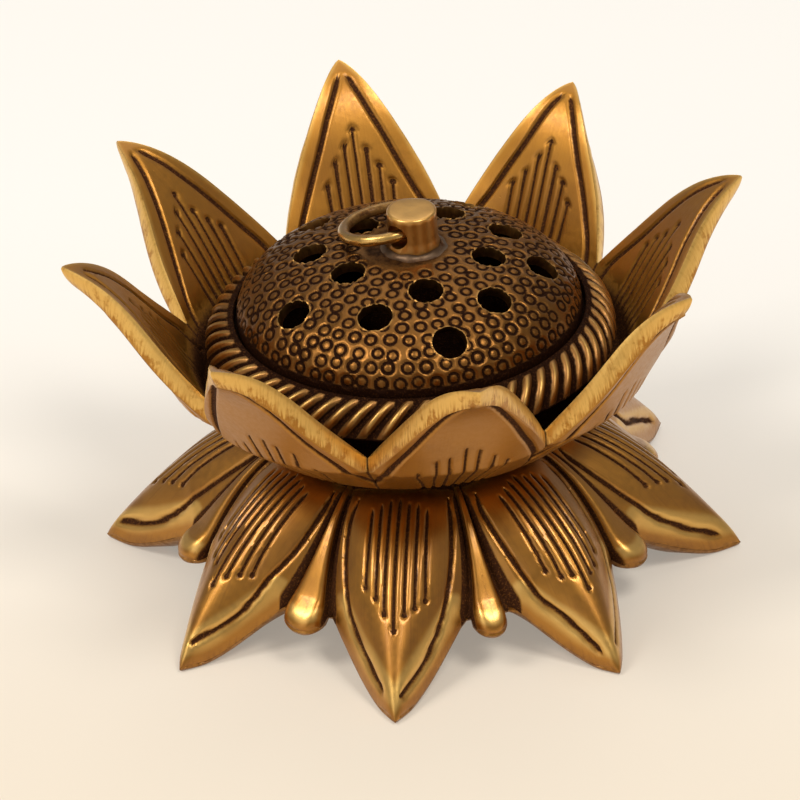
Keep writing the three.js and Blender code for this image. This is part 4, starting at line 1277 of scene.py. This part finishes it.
def dome_sheet(lid):
    """The punched dome and the plain underside of the lid."""
    r_line, length = dome_profile()
    s = np.linspace(0, length[-1], LID_ROWS)
    r = np.interp(s, length, r_line)
    angle = np.linspace(-math.pi, math.pi, LID_COLUMNS + 1)
    points = place(r[:, None], 0, dome_height(r)[:, None], angle)
    normal = normals_toward(points, (0, 0, 1))
    normal[0] = (0, 0, 1)
    normal[:, -1] = normal[:, 0]
    sink, dark = punched(points, s, angle, lid)
    to_edge = length[-1] - s
    # Painted shade: the dome's lower edge, where it sits against the bowl's shoulder, is darkened.
    edge = smooth((2.6 - to_edge) / 0.9)
    # The plain middle round the knob is painted darker.
    plain = smooth(1 - (r - 7.5) / 3.5)
    dark = np.maximum(dark, np.maximum(0.62 * plain, 0.9 * edge)[:, None])
    fade = np.clip(s / 3, 0, 1) * (1 - smooth((0.8 - to_edge) / 0.8))
    depth = sink * lid.punch_depth * fade[:, None]
    sheet = Sheet("patina_and_shade", "wear_and_highlight")
    sheet.add(points - normal * depth[..., None], dark, 0.2 * (1 - dark) * (1 - edge)[:, None])
    inside = SKIRT_RADIUS - SKIRT_WALL
    # Painted shade: the lid's underside and skirt are painted dark.
    for radius, z, patina_and_shade in (
            (LID_RADIUS, LID_BOTTOM, 1), (SKIRT_RADIUS, LID_BOTTOM, 0.8),
            (SKIRT_RADIUS, LID_BOTTOM - SKIRT_HEIGHT, 0.8), (inside, LID_BOTTOM - SKIRT_HEIGHT, 0.8),
            *((radius, dome_height(radius) - LID_WALL, 0.75) for radius in np.linspace(inside, 0, 9))):
        sheet.add(place(radius, 0, z, angle), patina_and_shade, 0.0)
    return sheet


def hole_line(radius, azimuth):
    """Middle of a smoke hole on the dome and the direction it is drilled in."""
    slope = float(dome_height(radius - 0.5) - dome_height(radius + 0.5))
    axis = place(slope, 0, 1.0, azimuth)
    return place(radius, 0, float(dome_height(radius)), azimuth), axis / np.linalg.norm(axis)


def hole_cutter(middle, axis, radius):
    """A drill that widens toward its top, to break the hole's edge."""
    tool = add_primitive(
        bpy.ops.mesh.primitive_cylinder_add, "hole_cutter", vertices=32, radius=radius * MM, depth=14 * MM)
    points = get_points(tool.data)
    upper = points[:, 2] > 0
    points[upper, 2] = 2.2
    points[upper, :2] *= (radius + HOLE_EDGE) / radius
    set_points(tool.data, points)
    turn = Vector((0, 0, 1)).rotation_difference(Vector(axis)).to_matrix().to_4x4()
    tool.data.transform(Matrix.Translation(Vector(middle * MM)) @ turn)
    return tool


def cut_holes(piece):
    """Drills the smoke holes and the hole for the knob's shank, each with a small broken edge."""
    lines = [hole_line(radius, math.radians(azimuth)) for radius, azimuth in HOLES]
    cutters = [hole_cutter(middle, axis, HOLE_RADIUS) for middle, axis in lines]
    cutters.append(hole_cutter(np.array([KNOB_X, KNOB_Y, LID_TOP]), (0, 0, 1.0), POST_HOLE_RADIUS))
    bore(piece, joined(*cutters))


def shade_holes(piece):
    """Paints the walls of the smoke holes dark, as the shade inside them, and brightens their broken edges
    as worn brass with a painted highlight.
    """
    mesh = piece.data
    points = get_points(mesh)
    patina_and_shade = get_attribute(mesh, "patina_and_shade")
    rims = np.zeros(len(points))
    for radius, azimuth in HOLES:
        middle, axis = hole_line(radius, math.radians(azimuth))
        to = points - middle
        along = to @ axis
        away = np.linalg.norm(to - along[:, None] * axis, axis=1) - HOLE_RADIUS
        patina_and_shade = np.where((away < 0.06) & (along < -0.45), 1.0, patina_and_shade)
        rims = np.maximum(rims, smooth(1.4 - np.abs(away - 0.3) / 0.45) * (np.abs(along) < 1.0))
    set_attribute(mesh, "patina_and_shade", np.where(rims > 0.5, patina_and_shade * 0.3, patina_and_shade))
    set_attribute(mesh, "wear_and_highlight", np.maximum(get_attribute(mesh, "wear_and_highlight"), 0.6 * rims))


def build_lid(context):
    piece = sheet_piece("lid_dome", *dome_sheet(context.scene.lotus_lid).finished())
    close_piece(piece, distance=0.004)
    cut_holes(piece)
    shade_holes(piece)
    select_only(piece)
    bpy.ops.object.shade_smooth_by_angle(angle=math.radians(50))
    return piece


# Knob, solder and ring


KNOB_RADIUS = 5.15
KNOB_FOOT_RADIUS = float(KNOB_HIGH[0] - KNOB_LOW[0]) / 2
KNOB_TOP = float(KNOB_HIGH[2])
KNOB_BASE = LID_TOP + 0.3
KNOB_MIDDLE = lerp(KNOB_BASE, KNOB_TOP, 0.2)
SHANK_RADIUS = 2.5
SHANK_BOTTOM = LID_TOP - LID_WALL - 1.6
EYE_RADIUS = 2.6
EYE_HEIGHT = KNOB_TOP - 4.5
EYE_AZIMUTH = math.radians(-36)
KNOB_STEPS = (
    (KNOB_FOOT_RADIUS, 0.0), (KNOB_FOOT_RADIUS, 0.35), (KNOB_RADIUS + 0.12, KNOB_MIDDLE - KNOB_BASE - 0.35),
    (KNOB_RADIUS, 1.0), (KNOB_RADIUS - 0.02, KNOB_TOP - KNOB_MIDDLE - 2.4), (KNOB_RADIUS, 0.9),
    (KNOB_RADIUS - 0.09, 0.22), (KNOB_RADIUS - 0.33, 0.17), (KNOB_RADIUS - 0.8, 0.07),
    (KNOB_RADIUS - 2.6, 0.03), (0.6, 0.01),
)


def knob_post():
    """The shank, and on its top face the knob, extruded ring by ring: a radius and a rise for each step."""
    piece = add_primitive(
        bpy.ops.mesh.primitive_cylinder_add, "knob_post", vertices=96, radius=SHANK_RADIUS * MM,
        depth=(KNOB_BASE - SHANK_BOTTOM) * MM)
    piece.data.transform(Matrix.Translation((0, 0, (KNOB_BASE + SHANK_BOTTOM) / 2 * MM)))
    bpy.ops.object.mode_set(mode="EDIT")
    bpy.ops.mesh.select_mode(type="FACE")
    bpy.ops.mesh.select_all(action="DESELECT")
    bpy.ops.object.mode_set(mode="OBJECT")
    for face in piece.data.polygons:
        face.select = face.normal.z > 0.9
    bpy.ops.object.mode_set(mode="EDIT")
    middle = Vector((0, 0, KNOB_BASE * MM))
    previous = SHANK_RADIUS
    for radius, rise in KNOB_STEPS:
        bpy.ops.mesh.extrude_region_move(TRANSFORM_OT_translate={"value": (0, 0, rise * MM)})
        scale = radius / previous
        bpy.ops.transform.resize(value=(scale, scale, 1), center_override=middle)
        previous = radius
    bpy.ops.object.mode_set(mode="OBJECT")
    return piece


def hand_turned(piece):
    """Gives the knob a top and sides that are a little uneven."""
    points = get_points(piece.data)
    top = smooth((points[:, 2] - KNOB_TOP + 1.2) / 1.0)
    points[:, 2] += top * (0.1 * wobble(points, 6, 41) - 0.1)
    radial = np.hypot(points[:, 0], points[:, 1])
    body = smooth((points[:, 2] - KNOB_BASE) / 0.5) * smooth(radial - 3)
    points[:, :2] *= (1 + 0.010 * body * wobble(points, 7, 42))[:, None]
    set_points(piece.data, points)


def bore_eye(piece):
    """Drills the eye for the ring and breaks the knob's edges."""
    eye = add_primitive(
        bpy.ops.mesh.primitive_cylinder_add, "eye_cutter", vertices=64, radius=EYE_RADIUS * MM,
        depth=20 * MM, rotation=(math.pi / 2, 0, 0))
    bpy.ops.object.transform_apply(location=True, rotation=True, scale=True)
    eye.data.transform(Matrix.Translation((0, 0, EYE_HEIGHT * MM)) @ Matrix.Rotation(EYE_AZIMUTH, 4, "Z"))
    bore(piece, eye)
    apply_modifier(piece, "BEVEL", width=0.22 * MM, segments=2, limit_method="ANGLE",
                   angle_limit=math.radians(48))


def shade_knob(piece):
    """Paints the eye and the knob's foot dark, as the shade inside the eye and where the foot meets the
    dome, and rubs its top bright.
    """
    x, y, z = get_points(piece.data).T
    x, y = x - KNOB_X, y - KNOB_Y
    side = x * math.cos(EYE_AZIMUTH) + y * math.sin(EYE_AZIMUTH)
    from_eye = np.abs(np.hypot(side, z - EYE_HEIGHT) - EYE_RADIUS)
    bored = (from_eye < 0.12) & (np.hypot(x, y) < KNOB_RADIUS - 0.1) & (z < KNOB_TOP - 1)
    foot = 0.75 * smooth(1 - (z - KNOB_BASE) / 1.1)
    set_attribute(piece.data, "patina_and_shade", np.maximum(np.where(bored, 0.85, 0.0), foot))
    set_attribute(piece.data, "wear_and_highlight", np.where(z > KNOB_TOP - 0.8, 0.5, 0.2))


def build_knob():
    piece = knob_post()
    hand_turned(piece)
    bore_eye(piece)
    piece.data.transform(Matrix.Translation((KNOB_X * MM, KNOB_Y * MM, 0)))
    shade_knob(piece)
    return close_piece(piece, distance=0.002, angle=38)


def build_solder():
    """A lumpy run of solder round the knob's foot, lying on the dome."""
    angle = np.linspace(0, FULL_TURN, 121)
    lump = 0.5 + 0.5 * wave(angle * 10, 3.1, 51)
    low = KNOB_FOOT_RADIUS + 0.1
    rows = []

    def add(r, height):
        x, y = KNOB_X + r * np.sin(angle), KNOB_Y - r * np.cos(angle)
        rows.append(np.stack([x, y, dome_height(np.hypot(x, y)) + 0.04 + height], 1))

    for q in np.linspace(0, math.pi / 2, 9):
        add(low + (1.0 + 0.5 * lump) * (1 - math.sin(q)), (0.75 + 0.5 * lump) * (1 - math.cos(q)) ** 0.8)
    add(low, 0)
    points = np.stack([*rows, rows[0]])
    points[:, -1] = points[:, 0]
    patina_and_shade = np.clip(0.25 + 0.4 * wobble(points, 3.0, 52), 0, 0.8)
    piece = sheet_piece("solder_run", points, {"patina_and_shade": patina_and_shade, "wear_and_highlight": np.zeros_like(patina_and_shade)})
    return close_piece(piece, distance=0.003, angle=60)


RING_RADIUS = 8.7
RING_WIRE = 1.2


def ring_hang():
    """How far out from the eye's middle the ring's is, and its tilt down to the dome."""
    bow = RING_RADIUS - math.sqrt(RING_RADIUS ** 2 - KNOB_RADIUS ** 2)
    out = RING_RADIUS - bow / 2
    drop = EYE_HEIGHT - (float(RING_LOW[2]) + RING_WIRE)
    return out, math.asin(drop / (out + RING_RADIUS))


def build_ring():
    out, tilt = ring_hang()
    piece = add_primitive(
        bpy.ops.mesh.primitive_torus_add, "ring_wire", major_segments=160, minor_segments=24,
        major_radius=RING_RADIUS * MM, minor_radius=RING_WIRE * MM)
    points = get_points(piece.data)
    around = np.arctan2(points[:, 1], points[:, 0])
    core = np.stack([RING_RADIUS * np.cos(around), RING_RADIUS * np.sin(around), np.zeros_like(around)], 1)
    thick = 1 + 0.035 * wave((around + math.pi) * 9, 2.3, 61)
    points = core + (points - core) * thick[:, None] + (out, 0, 0)
    turn = np.array(Matrix.Rotation(EYE_AZIMUTH - math.pi, 3, "Z") @ Matrix.Rotation(tilt, 3, "Y"))
    eye = np.array([KNOB_X, KNOB_Y, EYE_HEIGHT])
    points = points @ turn.T + eye
    set_points(piece.data, points)
    away = points - (turn @ (out, 0, 0) + eye)
    away /= np.linalg.norm(away, axis=1)[:, None]
    facing_in = -np.sum(away * read_values(piece.data.vertices, "normal", 3), axis=1)
    patina_and_shade = 0.5 * smooth((facing_in + 0.1) / 0.9) + 0.3 * wobble(points, 7, 62) + 0.15
    set_attribute(piece.data, "patina_and_shade", np.clip(patina_and_shade, 0, 0.85))
    set_attribute(piece.data, "wear_and_highlight", np.clip(-facing_in * 0.6, 0, 1))
    bpy.ops.object.shade_smooth()
    return piece


# Stage. Its places and sizes are in metres.


FLOOR_SIZE = 6
FLOOR_GLOW = 0.35
NEAR_FLOOR_Y, FAR_FLOOR_Y = -0.13, 0.16
WORLD_COLOUR = (1.0, 0.96, 0.90)
WORLD_STRENGTH = 0.34
LAMPS = (
    ("left_softbox", (-0.73, -0.40, 1.25), 0.5, 9.4, (1.0, 0.97, 0.92)),
    ("right_softbox", (0.56, -0.42, 1.33), 0.5, 9.4, (1.0, 0.97, 0.92)),
    ("front_softbox", (-0.86, -1.23, 0.55), 1.0, 3.0, (1.0, 0.98, 0.95)),
    ("back_softbox", (0.0, 0.75, 1.3), 1.1, 4.5, (1.0, 0.98, 0.95)),
)
LAMP_AIM = Vector((0, 0, 0.04))
CAMERA_AIM = Vector((0, 0, 0.0335))
PHOTO_PIXELS = 800
SHIFT_PIXELS = (-14.9, 7.4)


def paper(stage):
    """Pale table that keeps a faint shadow: part of what is seen of it is its own unlit colour, and that
    colour is painted darker toward the camera as painted shade.
    """
    n = Nodes("table_paper")
    spot = n.add("ShaderNodeSeparateXYZ")
    n.feed(spot, {0: n.coords})
    # Painted shade: the floor's colour darkens toward the camera.
    toward_back = n.ramp(spot.outputs[1], NEAR_FLOOR_Y, FAR_FLOOR_Y)
    colour = n.mix(toward_back, stage.shaded_near_floor_colour, stage.floor_colour)
    n.feed(n.shader, {"Base Color": colour, "Roughness": 0.9, "Specular IOR Level": 0.0})
    glow = n.add("ShaderNodeEmission")
    n.feed(glow, {"Color": colour, "Strength": 1.0})
    rays = n.add("ShaderNodeLightPath")
    seen = n.plus(rays.outputs["Is Camera Ray"], rays.outputs["Is Glossy Ray"])
    seen = n.plus(seen, rays.outputs["Is Transmission Ray"], clamp=True)
    blend = n.add("ShaderNodeMixShader")
    n.feed(blend, {0: n.times(seen, FLOOR_GLOW), 1: n.shader.outputs[0], 2: glow.outputs[0]})
    n.feed(n.tree.nodes["Material Output"], {"Surface": blend.outputs[0]})
    return n.material


def build_world(scene):
    world = bpy.data.worlds.new("studio")
    world.use_nodes = True
    background = world.node_tree.nodes["Background"]
    background.inputs["Color"].default_value = rgba(WORLD_COLOUR)
    background.inputs["Strength"].default_value = WORLD_STRENGTH
    scene.world = world


def build_lamp(name, spot, size, power, colour):
    select_only()
    bpy.ops.object.light_add(type="AREA", location=spot)
    lamp = bpy.context.object
    lamp.name = name
    lamp.data.shape = "SQUARE"
    lamp.data.size = size
    lamp.data.energy = power
    lamp.data.color = colour
    lamp.rotation_euler = (LAMP_AIM - Vector(spot)).to_track_quat("-Z", "Y").to_euler()


def build_camera(scene, stage):
    a, e = stage.camera_azimuth, stage.camera_elevation
    back = Vector((math.sin(a) * math.cos(e), -math.cos(a) * math.cos(e), math.sin(e)))
    select_only()
    bpy.ops.object.camera_add(location=CAMERA_AIM + back * stage.camera_distance)
    camera = bpy.context.object
    camera.name = "photo_camera"
    upright = back.to_track_quat("Z", "Y").to_matrix()
    camera.rotation_euler = (upright @ Matrix.Rotation(stage.camera_roll, 3, "Z")).to_euler()
    camera.data.lens = stage.lens
    camera.data.sensor_width = 36
    camera.data.sensor_fit = "HORIZONTAL"
    camera.data.shift_x, camera.data.shift_y = (pixels / PHOTO_PIXELS for pixels in SHIFT_PIXELS)
    camera.data.clip_end = 20
    scene.camera = camera


def build_stage(context):
    stage = context.scene.lotus_stage
    floor = add_primitive(bpy.ops.mesh.primitive_plane_add, "table_top", size=FLOOR_SIZE)
    finish_with(floor, paper(stage))
    build_world(context.scene)
    for lamp in LAMPS:
        build_lamp(*lamp)
    build_camera(context.scene, stage)
    context.scene.view_settings.view_transform = "Standard"


# Operators, panel and registration


class LOTUS_OT_foot(bpy.types.Operator):
    """Builds the carved foot casting"""
    bl_idname = "lotus.foot"
    bl_label = "Foot casting"

    def execute(self, context):
        f = context.scene.lotus_finish
        dress(build_foot(context), "burner", "lotus_base",
              antique("foot_brass", f.brass, f.tarnish, f.patina_and_shade, f.rubbed_and_highlight, 0.36, 0.5))
        return {"FINISHED"}


class LOTUS_OT_cup(bpy.types.Operator):
    """Builds the carved cup casting"""
    bl_idname = "lotus.cup"
    bl_label = "Cup casting"

    def execute(self, context):
        f = context.scene.lotus_finish
        dress(build_cup(context), "burner", "lotus_cup",
              antique("cup_brass", f.brass, f.tarnish, f.patina_and_shade, f.rubbed_and_highlight, 0.42, 0.35, 0.5, coat=0.3))
        return {"FINISHED"}


class LOTUS_OT_bowl(bpy.types.Operator):
    """Builds the fire bowl with its roped shoulder"""
    bl_idname = "lotus.bowl"
    bl_label = "Fire bowl"

    def execute(self, context):
        f = context.scene.lotus_finish
        dress(build_bowl(context), "burner", "fire_bowl",
              antique("bowl_brass", f.bowl_brass, f.tarnish, f.soot_and_shade, f.rubbed_and_highlight, 0.40, 0.6,
                      grit=0.2, coat=0.1))
        return {"FINISHED"}


class LOTUS_OT_lid(bpy.types.Operator):
    """Builds the punched and pierced lid"""
    bl_idname = "lotus.lid"
    bl_label = "Lid"

    def execute(self, context):
        f = context.scene.lotus_finish
        dress(build_lid(context), "lid", "pierced_lid",
              antique("lid_brass", f.lid_brass, f.tarnish, f.soot_and_shade, f.lid_rubbed_and_highlight, 0.36, 0.5,
                      grit=0.12, coat=0.0))
        return {"FINISHED"}


class LOTUS_OT_knob(bpy.types.Operator):
    """Builds the knob, its solder and the pull ring"""
    bl_idname = "lotus.knob"
    bl_label = "Knob and ring"

    def execute(self, context):
        f = context.scene.lotus_finish
        dress(build_knob(), "lid", "lid_knob",
              antique("knob_brass", f.knob_brass, f.tarnish, f.patina_and_shade, f.rubbed_and_highlight, 0.36, 0.3, 0.6))
        dress(build_solder(), "lid", "knob_solder",
              antique("grey_solder", f.solder, f.lid_brass, f.patina_and_shade, f.solder, 0.45, 0.5, 0.6, coat=0.0))
        dress(build_ring(), "ring", "pull_ring",
              antique("ring_brass", f.ring_brass, f.tarnish, f.patina_and_shade, f.rubbed_and_highlight, 0.3, 0.4, 0.3))
        return {"FINISHED"}


class LOTUS_OT_fasteners(bpy.types.Operator):
    """Gives the clamp stud, washer and nut under the foot their finish"""
    bl_idname = "lotus.fasteners"
    bl_label = "Clamp"

    def execute(self, context):
        f = context.scene.lotus_finish
        material = antique("fastener_brass", f.brass, f.tarnish, f.patina_and_shade, f.rubbed_and_highlight, 0.36, 0.6)
        for name in ("clamp_stud", "clamp_washer", "clamp_nut"):
            finish_with(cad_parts[name], material)
        return {"FINISHED"}


class LOTUS_OT_stage(bpy.types.Operator):
    """Builds the table, the soft lights and the camera"""
    bl_idname = "lotus.stage"
    bl_label = "Stage"

    def execute(self, context):
        build_stage(context)
        return {"FINISHED"}


class LOTUS_PT_panel(bpy.types.Panel):
    """Lists the pieces of the burner"""
    bl_idname = "LOTUS_PT_panel"
    bl_label = "Lotus Incense Burner"
    bl_space_type = "VIEW_3D"
    bl_region_type = "UI"
    bl_category = "Lotus Burner"

    def draw(self, context):
        column = self.layout.column()
        for operator in OPERATORS:
            column.operator(operator.bl_idname, text=operator.bl_label)
        for group in GROUPS:
            settings = getattr(context.scene, group)
            box = self.layout.box()
            for key in settings.__annotations__:
                box.prop(settings, key)


GROUPS = {
    "lotus_castings": LotusCastings,
    "lotus_lid": LotusLid,
    "lotus_finish": LotusFinish,
    "lotus_stage": LotusStage,
}
OPERATORS = (
    LOTUS_OT_stage, LOTUS_OT_foot, LOTUS_OT_cup, LOTUS_OT_bowl, LOTUS_OT_lid, LOTUS_OT_knob,
    LOTUS_OT_fasteners,
)
CLASSES = (*GROUPS.values(), *OPERATORS, LOTUS_PT_panel)


def register():
    for cls in CLASSES:
        bpy.utils.register_class(cls)
    for name, cls in GROUPS.items():
        setattr(bpy.types.Scene, name, PointerProperty(type=cls))


def unregister():
    for name in GROUPS:
        delattr(bpy.types.Scene, name)
    for cls in reversed(CLASSES):
        bpy.utils.unregister_class(cls)


def main():
    register()
    bpy.ops.lotus.stage()
    bpy.ops.lotus.foot()
    bpy.ops.lotus.cup()
    bpy.ops.lotus.bowl()
    bpy.ops.lotus.lid()
    bpy.ops.lotus.knob()
    bpy.ops.lotus.fasteners()


if __name__ == "__main__":
    main()
